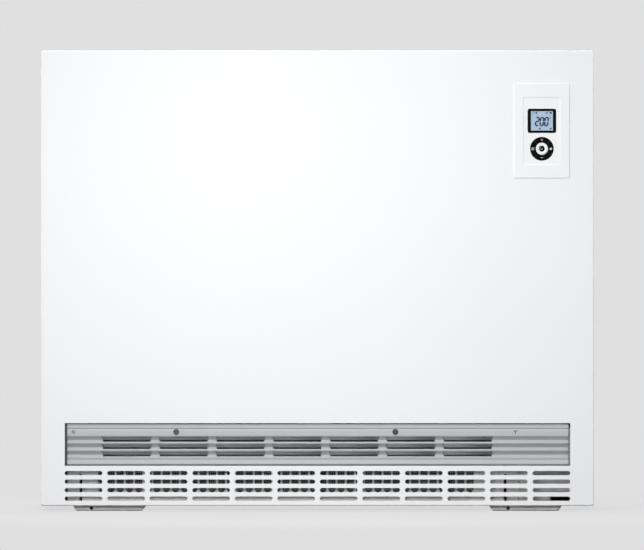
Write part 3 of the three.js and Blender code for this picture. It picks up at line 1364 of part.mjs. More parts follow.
// Where the wiring parts stand across the electrics plate.
const wiringMiddle = (plateLeft + PANEL_FLANGE + plateRight) / 2;

function terminalBlock() {
  const face = plateFront - SEAT_GAP;
  const front = face - TERMINAL_DEPTH;
  const width = TERMINAL_COUNT * TERMINAL_PITCH;
  const body = blockOn(face, [width, TERMINAL_DEPTH, TERMINAL_HEIGHT], wiringMiddle, TERMINAL_BOTTOM);
  const wells = Array.from({ length: TERMINAL_COUNT }, (_, i) => {
    const x = wiringMiddle - width / 2 + TERMINAL_PITCH * (i + 0.5);
    return barY(TERMINAL_WELL_RADIUS, [front - PAST, front + TERMINAL_WELL_DEPTH], x, TERMINAL_WELL_Z, 6);
  });
  return piece("terminal_block", cut(body, ...wells), TERMINAL_PLASTIC);
}

// The cut-out that opens if the core overheats: a flanged disc thermostat with two blade terminals.
function safetyCutout() {
  const face = plateFront - SEAT_GAP;
  const bodyFront = face - CUTOUT_FLANGE - CUTOUT_DEPTH;
  const ears = slotShape(wiringMiddle, CUTOUT_Z, CUTOUT_EAR_SPAN, CUTOUT_EAR_WIDTH, 4);
  const flange = alongY(ears, [face - CUTOUT_FLANGE, face]);
  const body = barY(CUTOUT_RADIUS, [bodyFront, face - CUTOUT_FLANGE + INTO], wiringMiddle, CUTOUT_Z, 14);
  const blades = [-1, 1].map((side) => {
    const x = wiringMiddle + side * (CUTOUT_RADIUS / 2);
    return box(
      [x - CUTOUT_BLADE[0] / 2, x + CUTOUT_BLADE[0] / 2],
      [bodyFront - CUTOUT_BLADE[1], bodyFront + INTO],
      [CUTOUT_Z - CUTOUT_BLADE[2] / 2, CUTOUT_Z + CUTOUT_BLADE[2] / 2],
    );
  });
  return piece("safety_cutout", join(flange, body, ...blades), BLACK_PLASTIC);
}

// ---- Control unit: in its own frame, y = 0 on the front panel's face --------------------------------

function controlHousing() {
  const bezel = pillow(
    roundedRectangle(BEZEL_WIDTH, BEZEL_HEIGHT, BEZEL_RADIUS),
    [-BEZEL_RISE, -SEAT_GAP],
    BEZEL_CHAMFER,
  );
  const bodyDepth = [-SEAT_GAP - INTO, CONTROL_BODY_DEPTH];
  const body = alongY(roundedRectangle(controlBodyWidth, controlBodyHeight, BEZEL_RADIUS), bodyDepth, 2);
  const recess = alongY(
    roundedRectangle(FASCIA_WIDTH, FASCIA_HEIGHT, BEZEL_RADIUS / 2),
    [-BEZEL_RISE - PAST, fasciaFace],
    2,
  );
  const wall = 2 * CONTROL_WALL;
  const hollow = box(
    [-(controlBodyWidth - wall) / 2, (controlBodyWidth - wall) / 2],
    [fasciaBack, CONTROL_BODY_DEPTH + PAST],
    [-(controlBodyHeight - wall) / 2, (controlBodyHeight - wall) / 2],
  );
  const through = [fasciaFace - PAST, fasciaBack + PAST];
  const clear = 2 * KEY_CLEARANCE;
  const window = alongY(
    roundedRectangle(DISPLAY_WIDTH + clear, DISPLAY_HEIGHT + clear, DISPLAY_RADIUS, 0, DISPLAY_Z),
    through,
    2,
  );
  const keyHole = barY(KEY_RING_RADIUS + KEY_CLEARANCE, through, 0, KEY_RING_Z, 28);
  return piece("control_housing", cut(join(bezel, body), recess, hollow, window, keyHole), WHITE_PLASTIC);
}

function displayWindow() {
  const glass = roundedRectangle(DISPLAY_WIDTH, DISPLAY_HEIGHT, DISPLAY_RADIUS, 0, DISPLAY_Z);
  return piece("display_window", alongY(glass, [fasciaFace, fasciaFace + DISPLAY_GLASS], 3), BLACK_PLASTIC);
}

function displayModule() {
  const margin = 2 * DISPLAY_MODULE_MARGIN;
  const [w, h] = [(DISPLAY_WIDTH - margin) / 2, (DISPLAY_HEIGHT - margin) / 2];
  const block = box(
    [-w, w],
    [fasciaFace + DISPLAY_GLASS + SEAT_GAP, CONTROL_BOARD_Y - SEAT_GAP],
    [DISPLAY_Z - h, DISPLAY_Z + h],
  );
  return piece("display_module", block, DISPLAY_BLUE);
}

// The control board, with a switch dome behind each key and a guide post for the middle one.
function controlBoard() {
  const inset = 2 * (CONTROL_WALL + SEAT_GAP);
  const [w, h] = [(controlBodyWidth - inset) / 2, (controlBodyHeight - inset) / 2];
  const board = box([-w, w], [CONTROL_BOARD_Y, CONTROL_BOARD_Y + BOARD_THICKNESS], [-h, h]);
  const keyBack = fasciaFace - KEY_PROUD + KEY_LENGTH;
  const domeReach = (KEY_RING_RADIUS + KEY_RING_INNER) / 2;
  const domes = [0, 1, 2, 3].map((quarter) =>
    barY(
      DOME_RADIUS,
      [keyBack + KEY_TRAVEL + SEAT_GAP, CONTROL_BOARD_Y + INTO],
      domeReach * Math.sin((quarter * Math.PI) / 2),
      KEY_RING_Z + domeReach * Math.cos((quarter * Math.PI) / 2),
      10,
    ),
  );
  const postFront = keyBack - OK_POST_RELIEF;
  const post = barY(OK_POST_RADIUS, [postFront, CONTROL_BOARD_Y + INTO], 0, KEY_RING_Z, 16);
  return piece("control_board", join(board, ...domes, post), CIRCUIT_BOARD);
}

// The outline of one quarter of a ring, centred on the upward direction and narrowed by the split.
function quarterRing(inner, outer) {
  const shape = new THREE.Shape();
  const trim = (radius) => Math.PI / 4 - KEY_RING_SPLIT / 2 / radius;
  const up = Math.PI / 2;
  shape.absarc(0, 0, outer, up - trim(outer), up + trim(outer));
  shape.absarc(0, 0, inner, up + trim(inner), up - trim(inner), true);
  return shape;
}

// One of the four ring keys, turned to its place; its lip bears on the back of the fascia.
function ringKey(name, quarter) {
  const front = fasciaFace - KEY_PROUD;
  const cap = alongY(quarterRing(KEY_RING_INNER, KEY_RING_RADIUS), [front, front + KEY_LENGTH], 4);
  const lipFront = fasciaBack + SEAT_GAP;
  const lip = alongY(
    quarterRing(KEY_RING_INNER, KEY_RING_RADIUS + KEY_LIP),
    [lipFront, lipFront + KEY_LIP_THICKNESS],
    4,
  );
  const made = piece(name, join(cap, lip), BLACK_PLASTIC);
  made.position.z = KEY_RING_Z;
  made.rotation.y = (quarter * Math.PI) / 2;
  return made;
}

// The middle key: a round cap with a blind hole that rides on the board's post.
function okKey() {
  const front = fasciaFace - KEY_PROUD;
  const back = front + KEY_LENGTH;
  const cap = barY(OK_KEY_RADIUS, [front, back], 0, 0, 28);
  const guideDepth = OK_POST_RELIEF + KEY_TRAVEL + SEAT_GAP;
  const guide = barY(OK_POST_RADIUS + SEAT_GAP, [back - guideDepth, back + PAST], 0, 0, 12);
  const made = piece("key_ok", cut(cap, guide), WHITE_PLASTIC);
  made.position.z = KEY_RING_Z;
  return made;
}

function controlUnit() {
  const unit = new THREE.Group();
  unit.position.set(controlX, frontFace, controlZ);
  unit.add(controlHousing(), displayWindow(), displayModule(), controlBoard(), okKey());
  unit.add(ringKey("key_plus", 0), ringKey("key_mode", 1), ringKey("key_minus", 2), ringKey("key_menu", 3));
  return unit;
}

// ---- The whole heater ------------------------------------------------------------------------------

const heater = new THREE.Group();
heater.add(
  frontPanel(),
  sidePanel("side_panel_left", -1),
  sidePanel("side_panel_right", 1),
  topCover(),
  rearPanel(),
  baseTray(),
  foot("foot_left", -FOOT_X),
  foot("foot_right", FOOT_X),
  wallBracket("wall_bracket_left", -BRACKET_X),
  wallBracket("wall_bracket_right", BRACKET_X),
  outletGrille(),
  grilleLock("grille_lock_left", LOCK_LEFT_X),
  grilleLock("grille_lock_right", LOCK_RIGHT_X),
  bayRail("bay_rail_left", BAY_LEFT, -1),
  bayRail("bay_rail_right", BAY_RIGHT, 1),
  coreShelf(),
  partitionPanel(),
  bricks(),
  ...elementHeights.map((z, i) => heatingElement(`heating_element_${i + 1}`, z)),
  bottomInsulation(),
  topInsulation(),
  frontInsulation(),
  rearInsulation(),
  leftInsulation(),
  rightInsulation(),
  fanDrawer(),
  fluffFilter(),
  fanScroll(),
  fanImpeller(),
  fanBearing(),
  fanMotor(),
  airDuct(),
  mixingFlap(),
  bimetalStrip(),
  electricsPlate(),
  powerBoard(),
  terminalBlock(),
  safetyCutout(),
  controlUnit(),
);

export default heater;
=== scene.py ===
# %% [markdown]
# # Dressing a storage heater
# The heater is a white sheet-steel box full of bricks. Its engineering model comes in as a fixed frame,
# and this lesson makes the surfaces that a visitor sees: the pressed panels, the outlet grille, the
# control unit and what shows through the slots. Everything is placed from the frame's own measures.
# %% Load the frame
import json
import math

import bmesh
import bpy
import numpy as np
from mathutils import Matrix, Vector
from mathutils.geometry import tessellate_polygon


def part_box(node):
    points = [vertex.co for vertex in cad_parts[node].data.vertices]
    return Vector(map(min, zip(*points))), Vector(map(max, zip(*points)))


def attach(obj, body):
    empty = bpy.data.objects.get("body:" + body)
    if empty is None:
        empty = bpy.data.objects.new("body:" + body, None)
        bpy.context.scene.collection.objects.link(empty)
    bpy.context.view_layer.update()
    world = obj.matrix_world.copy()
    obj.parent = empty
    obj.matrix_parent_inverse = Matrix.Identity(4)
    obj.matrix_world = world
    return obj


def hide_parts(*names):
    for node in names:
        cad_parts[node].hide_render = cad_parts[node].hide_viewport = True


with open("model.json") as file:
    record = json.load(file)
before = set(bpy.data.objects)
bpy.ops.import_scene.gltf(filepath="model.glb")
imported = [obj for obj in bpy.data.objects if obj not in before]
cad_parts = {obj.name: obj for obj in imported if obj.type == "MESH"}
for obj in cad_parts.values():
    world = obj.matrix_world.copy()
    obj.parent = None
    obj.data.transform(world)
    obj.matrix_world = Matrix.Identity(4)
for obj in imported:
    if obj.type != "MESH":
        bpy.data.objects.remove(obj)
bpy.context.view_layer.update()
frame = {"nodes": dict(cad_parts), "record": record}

nodes = frame["nodes"]

# %% [markdown]
# Workshop drawings of sheet metal are in millimetres, so the shapes below are too, and one function
# turns them into metres when the mesh is made. A node's limits are read from the frame.
# %% Millimetres
MM = 0.001


def limits(node):
    """Lowest and highest corner of a node of the frame, in millimetres."""
    return [np.array(corner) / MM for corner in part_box(node)]


panel_low, panel_high = limits("front_panel")
FACE = panel_low[1]
print("front panel:", np.round(panel_high - panel_low, 1), "mm, its face at y", round(FACE, 1))

# %% [markdown]
# The photograph looks straight at the front from far away, with no perspective to speak of. A long lens
# on a distant camera does the same. Its height and side step put the heater where the photograph has it.
# %% Camera
PHOTO_WIDTH = 644
PHOTO_HEIGHT = 550
PIXEL = 1.4105 * MM  # what one pixel covers on the heater's front
LEFT_EDGE_COLUMN = 41.0
TOP_EDGE_ROW = 50.3
CAMERA_DISTANCE = 12.0
SENSOR = 36.0

camera = bpy.data.objects.new("camera", bpy.data.cameras.new("camera"))
bpy.context.scene.collection.objects.link(camera)
bpy.context.scene.camera = camera
camera.location = (
    panel_low[0] * MM + (PHOTO_WIDTH / 2 - LEFT_EDGE_COLUMN) * PIXEL,
    FACE * MM - CAMERA_DISTANCE,
    panel_high[2] * MM - (PHOTO_HEIGHT / 2 - TOP_EDGE_ROW) * PIXEL,
)
camera.rotation_euler = (math.pi / 2, 0, 0)
camera.data.sensor_width = SENSOR
camera.data.lens = SENSOR * CAMERA_DISTANCE / (PHOTO_WIDTH * PIXEL)
camera.data.clip_end = 100
print("camera at", [round(x, 3) for x in camera.location], "lens", round(camera.data.lens, 1))

# %% [markdown]
# A product photograph is lit by big soft boxes. Lamps or a sun would draw hard shadows, and an area light
# doesn't. One box on the left, close to the panel, gives it the slow fall of light towards the lower
# right corner. A high one in front lights the panel evenly. Others above, beside and behind keep every
# side readable.
# %% Light
SOFT_BOXES = {  # name: (place, what it points at, width, height, watts)
    "key_box": ((-0.17, -1.5, 0.6), (0.64, -0.12, -0.42), 0.6, 0.6, 15.2),
    "front_box": ((-0.6, -2.9, 2.6), (0.0, -0.1, 0.3), 1.5, 1.0, 33),
    "top_box": ((0.0, 0.15, 2.6), (0.0, 0.1, 0.6), 1.4, 0.8, 16),
    "left_box": ((-2.6, -0.3, 0.8), (-0.3, 0.0, 0.3), 1.0, 1.2, 20),
    "right_box": ((2.6, 0.3, 0.8), (0.3, 0.0, 0.3), 1.0, 1.2, 16),
    "rear_box": ((-0.8, 2.6, 1.2), (0.0, 0.1, 0.3), 1.4, 1.2, 40),
}

scene = bpy.context.scene
scene.view_settings.view_transform = "Standard"


def soft_box(name, place, target, width, height, watts):
    """A rectangular area light that the camera doesn't see."""
    light = bpy.data.lights.new(name, "AREA")
    light.shape = "RECTANGLE"
    light.size, light.size_y = width, height
    light.energy = watts
    lamp = bpy.data.objects.new(name, light)
    scene.collection.objects.link(lamp)
    lamp.location = place
    lamp.rotation_euler = (Vector(target) - Vector(place)).to_track_quat("-Z", "Y").to_euler()
    lamp.visible_camera = False


for name, setting in SOFT_BOXES.items():
    soft_box(name, *setting)
print("soft boxes:", len(SOFT_BOXES))

# %% [markdown]
# ## Materials
# A material in Blender is a tree of nodes, each with its settings and sockets. They could be placed by
# hand in the shader editor. Two helpers that set them by name keep the trees below short.
# %% Nodes
def add_node(tree, kind, settings=(), **sockets):
    """A node with its settings and its sockets' values."""
    node = tree.nodes.new(kind)
    for key, value in dict(settings).items():
        setattr(node, key, value)
    for key, value in sockets.items():
        node.inputs[key.replace("_", " ")].default_value = value
    return node


def rgba(colour):
    """A grey level or a colour with its opacity added."""
    return ((colour,) * 3 if isinstance(colour, float) else tuple(colour)) + (1.0,)


# %% [markdown]
# A real finish is never one flat colour. Here it drifts between two shades with a slow noise, its
# roughness follows the same drift, and a fine noise tilts the surface, as orange peel or casting skin
# does. Object coordinates keep the pattern at its real size and at its place on the piece. One function
# makes them all, so a finish is then a line of numbers.
# %% A finish made of noises
def finish(
    name, light, dark, drift, grain, depth, rough, metallic=0.0, stretch=(1, 1, 1), cells=False, **sockets
):
    """A Principled surface. colour = mix(dark, light, drift noise), roughness runs between the two values
    of rough by the same noise, and the bump is a grain noise times depth in millimetres. drift and grain
    are features per metre, stretch slows the noises along an axis, and cells makes the drift a
    patchwork of crystals, each with its own shade."""
    material = bpy.data.materials.new(name)
    material.use_nodes = True
    tree = material.node_tree
    shader = tree.nodes["Principled BSDF"]
    place = add_node(tree, "ShaderNodeTexCoord")
    mapping = add_node(tree, "ShaderNodeMapping", Scale=stretch)
    tree.links.new(place.outputs["Object"], mapping.inputs["Vector"])
    kind = "ShaderNodeTexVoronoi" if cells else "ShaderNodeTexNoise"
    slow = add_node(tree, kind, Scale=drift)
    tree.links.new(mapping.outputs["Vector"], slow.inputs["Vector"])
    shade = slow.outputs["Color" if cells else "Fac"]
    if cells:
        grey = add_node(tree, "ShaderNodeSeparateColor")
        tree.links.new(shade, grey.inputs["Color"])
        shade = grey.outputs["Red"]
    ramp = add_node(tree, "ShaderNodeValToRGB")
    for stop, at, colour in zip(ramp.color_ramp.elements, (0.3, 0.7), (dark, light)):
        stop.position = at
        stop.color = rgba(colour)
    tree.links.new(shade, ramp.inputs["Fac"])
    tree.links.new(ramp.outputs["Color"], shader.inputs["Base Color"])
    gloss = add_node(tree, "ShaderNodeMapRange", To_Min=rough[0], To_Max=rough[1])
    tree.links.new(shade, gloss.inputs["Value"])
    tree.links.new(gloss.outputs["Result"], shader.inputs["Roughness"])
    fine = add_node(tree, "ShaderNodeTexNoise", Scale=grain, Detail=3.0)
    tree.links.new(mapping.outputs["Vector"], fine.inputs["Vector"])
    bump = add_node(tree, "ShaderNodeBump", Strength=1.0, Distance=depth * MM)
    tree.links.new(fine.outputs["Fac"], bump.inputs["Height"])
    tree.links.new(bump.outputs["Normal"], shader.inputs["Normal"])
    shader.inputs["Metallic"].default_value = metallic
    for key, value in sockets.items():
        shader.inputs[key.replace("_", " ")].default_value = value
    return material


# %% [markdown]
# The room lights the heater from all round, as the walls of a studio do. A picture of a studio could do
# it, but a gradient over the height of the sky is enough for a white box. It is brighter above than
# below, which is what gives folds and grooves their shade.
# %% Room
ROOM = (0.03, 0.2, 0.55)  # light from below, from the sides and from above

world = bpy.data.worlds.new("studio")
world.use_nodes = True
scene.world = world
sky = world.node_tree
direction = add_node(sky, "ShaderNodeTexCoord")
parts = add_node(sky, "ShaderNodeSeparateXYZ")
height = add_node(sky, "ShaderNodeMapRange")
height.inputs["From Min"].default_value = -1.0
levels = add_node(sky, "ShaderNodeValToRGB")
levels.color_ramp.elements.new(0.5)
for stop, level, place in zip(levels.color_ramp.elements, ROOM, (0.0, 0.5, 1.0)):
    stop.position = place
    stop.color = rgba(level)
sky.links.new(direction.outputs["Generated"], parts.inputs[0])
sky.links.new(parts.outputs["Z"], height.inputs["Value"])
sky.links.new(height.outputs["Result"], levels.inputs["Fac"])
sky.links.new(levels.outputs["Color"], sky.nodes["Background"].inputs["Color"])
print("room:", dict(zip(("below", "beside", "above"), ROOM)))

# %% [markdown]
# The photograph's plain grey ground is a great ball round the scene that only the camera sees, so it
# looks the same from every side. A grey sky would look the same, but it would also light the heater.
# %% Backdrop
BACKDROP = 0.745  # the photograph's flat grey, as linear light
BACKDROP_RADIUS = 22.0
BACKDROP_SOCKETS = {
    "Base Color": rgba(0.0), "Specular IOR Level": 0.0,
    "Emission Color": rgba(BACKDROP), "Emission Strength": 1.0,
}


def for_the_camera_only(stage_object):
    """A stage object that neither lights the heater nor shades it."""
    scene.collection.objects.link(stage_object)
    stage_object.visible_diffuse = stage_object.visible_glossy = stage_object.visible_shadow = False


ball_mesh = bpy.data.meshes.new("backdrop")
ball = bmesh.new()
bmesh.ops.create_icosphere(ball, subdivisions=4, radius=BACKDROP_RADIUS)
ball.to_mesh(ball_mesh)
ball.free()
glow = bpy.data.materials.new("backdrop")
glow.use_nodes = True
for socket, value in BACKDROP_SOCKETS.items():
    glow.node_tree.nodes["Principled BSDF"].inputs[socket].default_value = value
ball_mesh.materials.append(glow)
for_the_camera_only(bpy.data.objects.new("backdrop", ball_mesh))
print("backdrop:", len(ball_mesh.polygons), "faces")

# %% [markdown]
# The casing's powder coat is a cool white with a fine orange peel, and the control unit's moulding
# is a shade plainer. The grille is satin aluminium whose fine lines run along it, as they come out of
# the die. Hidden steel is galvanised, which shows as a patchwork of zinc crystals, coarser or finer with
# the sheet.
# %% Metals and paints
ALONG_X = (0.03, 1, 1)
powder_white = finish(
    "powder_white", (0.845, 0.855, 0.87), (0.83, 0.84, 0.855), 5, 900, 0.006, (0.4, 0.46),
    Specular_IOR_Level=0.45,
)
moulded_white = finish(
    "moulded_white", (0.845, 0.852, 0.86), (0.835, 0.842, 0.85), 14, 2500, 0.003, (0.34, 0.42)
)
satin_aluminium = finish(
    "satin_aluminium", (0.52, 0.525, 0.545), (0.49, 0.495, 0.515), 60, 1600, 0.004, (0.6, 0.7), 0.0, ALONG_X,
    Specular_IOR_Level=0.3,
)
zinc_coat = finish("zinc_coat", 0.7, 0.655, 170, 700, 0.004, (0.44, 0.54), 0.5, cells=True)
# painted light: the feet's zinc is lighter than the other zinc and not metallic, standing in for light that
# the panel's overhang keeps off them
zinc_feet_painted_light = finish("zinc_feet_painted_light", 0.93, 0.89, 110, 700, 0.004, (0.5, 0.65), cells=True)
zinc_inside = finish("zinc_inside", 0.62, 0.54, 110, 700, 0.004, (0.45, 0.6), 0.55, cells=True)
# painted shade: a darker copy of the inside zinc, for the electrics plate in the shaded wiring bay
zinc_painted_shade = finish("zinc_painted_shade", 0.53, 0.46, 110, 700, 0.004, (0.5, 0.65), 0.5, cells=True)
plated_steel = finish("plated_steel", 0.09, 0.06, 300, 2200, 0.006, (0.3, 0.45), 0.9)
stamped_steel = finish("stamped_steel", 0.3, 0.2, 160, 1500, 0.01, (0.4, 0.55), 0.9, (1, 1, 9))
tinted_steel = finish(
    "tinted_steel", (0.24, 0.2, 0.17), (0.12, 0.11, 0.13), 24, 1800, 0.006, (0.32, 0.5), 0.95
)
print("materials so far:", len(bpy.data.materials))

# %% [markdown]
# The rest is what the heater holds: fired bricks, pressed insulating board, green circuit boards,
# mouldings, and the polished black of the keys and of the display's frame. Most of it stays hidden, but
# it is dressed all the same, because a reader may take the panels off.
# %% Mouldings, board and brick
polished_black = finish(
    "polished_black", 0.003, 0.002, 30, 1200, 0.001, (0.1, 0.16), Specular_IOR_Level=0.2
)
matt_black = finish("matt_black", 0.06, 0.04, 120, 2600, 0.006, (0.5, 0.65))
grey_thread = finish("grey_thread", 0.3, 0.22, 200, 2400, 0.004, (0.6, 0.75))
fired_brick = finish("fired_brick", (0.1, 0.062, 0.045), (0.045, 0.03, 0.026), 90, 420, 0.4, (0.85, 0.98))
pressed_board = finish(
    "pressed_board", (0.6, 0.48, 0.31), (0.47, 0.36, 0.22), 70, 380, 0.25, (0.9, 1.0), stretch=(0.4, 1, 1)
)
solder_mask = finish(
    "solder_mask", (0.03, 0.17, 0.07), (0.015, 0.09, 0.04), 400, 900, 0.02, (0.3, 0.45), cells=True
)
pale_moulding = finish("pale_moulding", (0.74, 0.73, 0.68), (0.68, 0.67, 0.62), 60, 2200, 0.006, (0.45, 0.6))
display_glow = finish(
    "display_glow", (0.41, 0.52, 0.66), (0.35, 0.46, 0.6), 40, 2600, 0.001, (0.12, 0.2), Coat_Weight=1.0,
    Coat_Roughness=0.03, Emission_Color=(0.42, 0.55, 0.72, 1), Emission_Strength=0.1,
)
display_ink = finish("display_ink", (0.01, 0.03, 0.09), (0.008, 0.022, 0.07), 300, 2600, 0.001, (0.2, 0.3))
key_print = finish("key_print", 0.64, 0.57, 300, 2600, 0.001, (0.35, 0.45))
print("materials in all:", len(bpy.data.materials))

# %% [markdown]
# Every node of the frame gets the finish of its own material. They could be picked one by one, but the
# record names a material slot for each node. So one table from slot to finish dresses them all, also
# those that stay hidden in the casing.
# %% Dress the frame
FINISH_OF = {
    "white_paint": powder_white, "white_plastic": moulded_white, "grey_aluminium": satin_aluminium,
    "galvanised_steel": zinc_inside, "lock_steel": plated_steel, "motor_steel": stamped_steel,
    "black_gloss": polished_black, "black_plastic": matt_black, "display_blue": display_glow,
    "storage_brick": fired_brick, "insulation_board": pressed_board, "element_steel": tinted_steel,
    "circuit_board": solder_mask, "terminal_plastic": pale_moulding,
}
slot_of = {part["node"]: part["material_slot"] for part in frame["record"]["subparts"]}
for name, slot in slot_of.items():
    mesh = nodes[name].data
    mesh.materials.clear()
    mesh.materials.append(FINISH_OF[slot])
nodes["electrics_plate"].data.materials[0] = zinc_painted_shade  # painted shade: a darker copy of the zinc, for the shade of the wiring bay behind the slots
print("finishes:", len(FINISH_OF), "for", len(slot_of), "nodes")

# %% [markdown]
# ## Surfaces
# Pressed and moulded parts are closed skins. A loop is an outline drawn on the sheet, and a profile says
# how the metal goes round that edge: how far it is from the outline, and how deep. Sweeping the profile
# round the loop gives a lattice of points, and flat fills close the faces. A surface is a pair of
# points and blocks of faces.
# %% Lattices and fills
def joined(*surfaces):
    """Several surfaces as one: face numbers move up by the points that came before."""
    starts = np.cumsum([0] + [len(points) for points, _ in surfaces])
    blocks = [block + start for (_, found), start in zip(surfaces, starts) for block in found]
    return np.concatenate([points for points, _ in surfaces]), blocks


def lattice(grid, closed=False, keep=None):
    """Quads between the points of a grid of rows and columns. closed joins the last column to the first,
    and keep says which cells have a face."""
    rows, columns = grid.shape[:2]
    number = np.arange(rows * columns).reshape(rows, columns)
    ahead = np.roll(number, -1, axis=1) if closed else number[:, 1:]
    here = number if closed else number[:, :-1]
    quads = np.stack([here[:-1], ahead[:-1], ahead[1:], here[1:]], -1)
    chosen = quads.reshape(-1, 4) if keep is None else quads[keep]
    return grid.reshape(-1, 3), [chosen]


def fill(*rings):
    """A flat face inside the first ring, with the others as its holes."""
    triangles = tessellate_polygon([[Vector(point) for point in ring] for ring in rings])
    return np.concatenate(rings), [np.array(triangles)]


# %% [markdown]
# Blender can round an outline with modifiers, but a formula keeps every corner exactly where the drawing
# has it. A rounded rectangle is four arcs, and a slot is two. Each outline comes with its outward normals,
# which the edges need.
# %% Round outlines
def rounded(centre, size, radius, steps=8):
    """Points and outward normals of a rectangle with round corners. Each corner's points are its arc's
    centre plus the radius times (cos a, sin a), as a runs through that corner's quarter turn."""
    turn = np.arange(4)[:, None] * np.pi / 2 + np.linspace(0, np.pi / 2, steps + 1)
    normals = np.stack([np.cos(turn), np.sin(turn)], -1)
    corners = np.array([[1, 1], [-1, 1], [-1, -1], [1, -1]])[:, None]
    middles = np.array(centre) + corners * (np.array(size) / 2 - radius)
    return (middles + radius * normals).reshape(-1, 2), normals.reshape(-1, 2)


def stadium(centre, length, width, upright=False, steps=10):
    """Points and outward normals of a slot with round ends: two half circles, pushed apart along it."""
    turn = np.linspace(-np.pi / 2, np.pi / 2, steps + 1)
    half = np.stack([np.cos(turn), np.sin(turn)], -1)
    normals = np.concatenate([half, -half])
    away = np.repeat([1, -1], steps + 1)[:, None] * [(length - width) / 2, 0]
    points = away + normals * width / 2
    if upright:
        points, normals = points[:, ::-1] * [-1, 1], normals[:, ::-1] * [-1, 1]
    return np.array(centre) + points, normals


def ring(centre, radius, steps=64):
    """Points and outward normals of a circle."""
    turn = np.arange(steps) / steps * 2 * np.pi
    normals = np.stack([np.cos(turn), np.sin(turn)], -1)
    return np.array(centre) + radius * normals, normals


# %% [markdown]
# Other outlines have straight sides and true corners. There is no arc to take a normal from, so each
# corner takes its own from the two sides that meet in it, as a mitre does.
# %% Outlines with corners
def outlined(points):
    """A closed outline and its normals: each is the mean of the two sides' normals, lengthened at a corner
    so that an offset keeps both sides at the same distance."""
    points = np.array(points, float)
    ahead = np.roll(points, -1, axis=0) - points
    ahead /= np.linalg.norm(ahead, axis=1)[:, None]
    behind = np.roll(ahead, 1, axis=0)
    side = lambda way: np.stack([way[:, 1], -way[:, 0]], -1)
    mean = side(ahead) + side(behind)
    mean /= np.linalg.norm(mean, axis=1)[:, None]
    return points, mean / np.maximum(0.3, (mean * side(ahead)).sum(1))[:, None]


# %% [markdown]
# Sheet metal is cut, punched or folded, and each way leaves its own edge. A punched edge is a wall with
# two small round-overs. A folded edge turns through a bend, runs back as a flange and returns inside.
# Bevel and Solidify could make both, but a profile says which faces stay flat.
# %% Edges
LEAD = 0.25  # flat strip beside an edge, which keeps the shading of the face level


def quarter(radius, steps=4):
    """A quarter turn from a face into a wall, as (offset, depth): (r sin a - r, r - r cos a)."""
    turn = np.linspace(0, np.pi / 2, steps + 1)
    return np.stack([radius * np.sin(turn) - radius, radius - radius * np.cos(turn)], -1)


def punched(depth, thickness, radius):
    """The profile of a plain edge, from the front face round to the back face."""
    front = quarter(radius)
    back = front[::-1] * [1, -1] + [0, thickness]
    lead = np.array([[-radius - LEAD, 0], [-radius - LEAD, thickness]])
    return np.concatenate([lead[:1], front, back, lead[1:]]) + [0, depth]


def folded(depth, reach, thickness, radius):
    """The profile of a flange: a bend, a wall that ends at reach, and the same again inside."""
    outer = np.concatenate([quarter(radius, 8), [[0, reach]]])
    bend = quarter(radius - thickness, 6)[::-1] + [-thickness, thickness]
    inner = np.concatenate([[[-thickness, reach]], bend])
    lead = np.array([[-radius - LEAD, 0], [-radius - LEAD, thickness]])
    return np.concatenate([lead[:1], outer, inner, lead[1:]]) + [0, depth]


# %% [markdown]
# A pressing is then an outer edge, some holes and two flat faces. Boolean cuts would give the same holes,
# but sweeping each edge by itself keeps every round-over clean.
# %% Plates
def swept(loop, profile, inward=False):
    """The profile carried round the loop, as a grid of (u, v, depth): point plus offset times normal.
    A hole's metal lies outside its outline, so there the normals are turned round."""
    points, normals = loop
    rings = points + profile[:, None, :1] * (-normals if inward else normals)
    depth = np.broadcast_to(profile[:, None, 1:], rings.shape[:2] + (1,))
    return np.concatenate([rings, depth], -1)


def plate(outer, outer_profile, holes=()):
    """A closed sheet between the first and last rings of its edges. holes are (loop, profile) pairs."""
    grids = [swept(outer, outer_profile)] + [swept(loop, profile, True) for loop, profile in holes]
    walls = [lattice(grid, closed=True) for grid in grids]
    return joined(*walls, fill(*[grid[0] for grid in grids]), fill(*[grid[-1] for grid in grids]))


# %% [markdown]
# The outlines above live on a flat drawing (u, v, depth). The casing has drawings on two of its sides,
# so a small function stands each one up. The objects themselves are never turned.
# %% From drawing to space
def stood(surface, side, level=0.0):
    """A drawing (u, v, depth) put on a side: front has x = u, z = v, y = level + depth; top has x = u,
    y = v, z = level - depth."""
    (u, v, d), blocks = surface[0].T, surface[1]
    places = {"front": (u, level + d, v), "top": (u, v, level - d)}
    return np.stack(places[side], -1), blocks


# %% [markdown]
# One function makes every mesh: it welds the seams, points the faces outwards, smooths the bends and
# leaves the true edges sharp. Then the piece is told which body it rides on and what it stands for.
# %% Make a piece
def make(name, surface, body, material, replaces=(), sharp=35):
    """A finished piece from a surface in millimetres: welded, facing outwards, smooth but for edges
    sharper than the given angle, riding on its body and standing for the nodes that it replaces."""
    points, blocks = surface
    mesh = bpy.data.meshes.new(name)
    faces = [face for block in blocks for face in block.tolist()]
    mesh.from_pydata((points * MM).tolist(), [], faces)
    work = bmesh.new()
    work.from_mesh(mesh)
    bmesh.ops.remove_doubles(work, verts=work.verts, dist=2e-6)
    bmesh.ops.dissolve_degenerate(work, edges=work.edges, dist=1e-6)
    bmesh.ops.recalc_face_normals(work, faces=work.faces)
    open_edges = sum(not edge.is_manifold for edge in work.edges)
    work.to_mesh(mesh)
    work.free()
    mesh.shade_smooth()
    mesh.set_sharp_from_angle(angle=math.radians(sharp))
    mesh.materials.append(material)
    piece = bpy.data.objects.new(name, mesh)
    scene.collection.objects.link(piece)
    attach(piece, body)
    if replaces:
        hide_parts(*replaces)
    print(f"{name}: {len(mesh.polygons)} faces, {open_edges} open edges")
    return piece


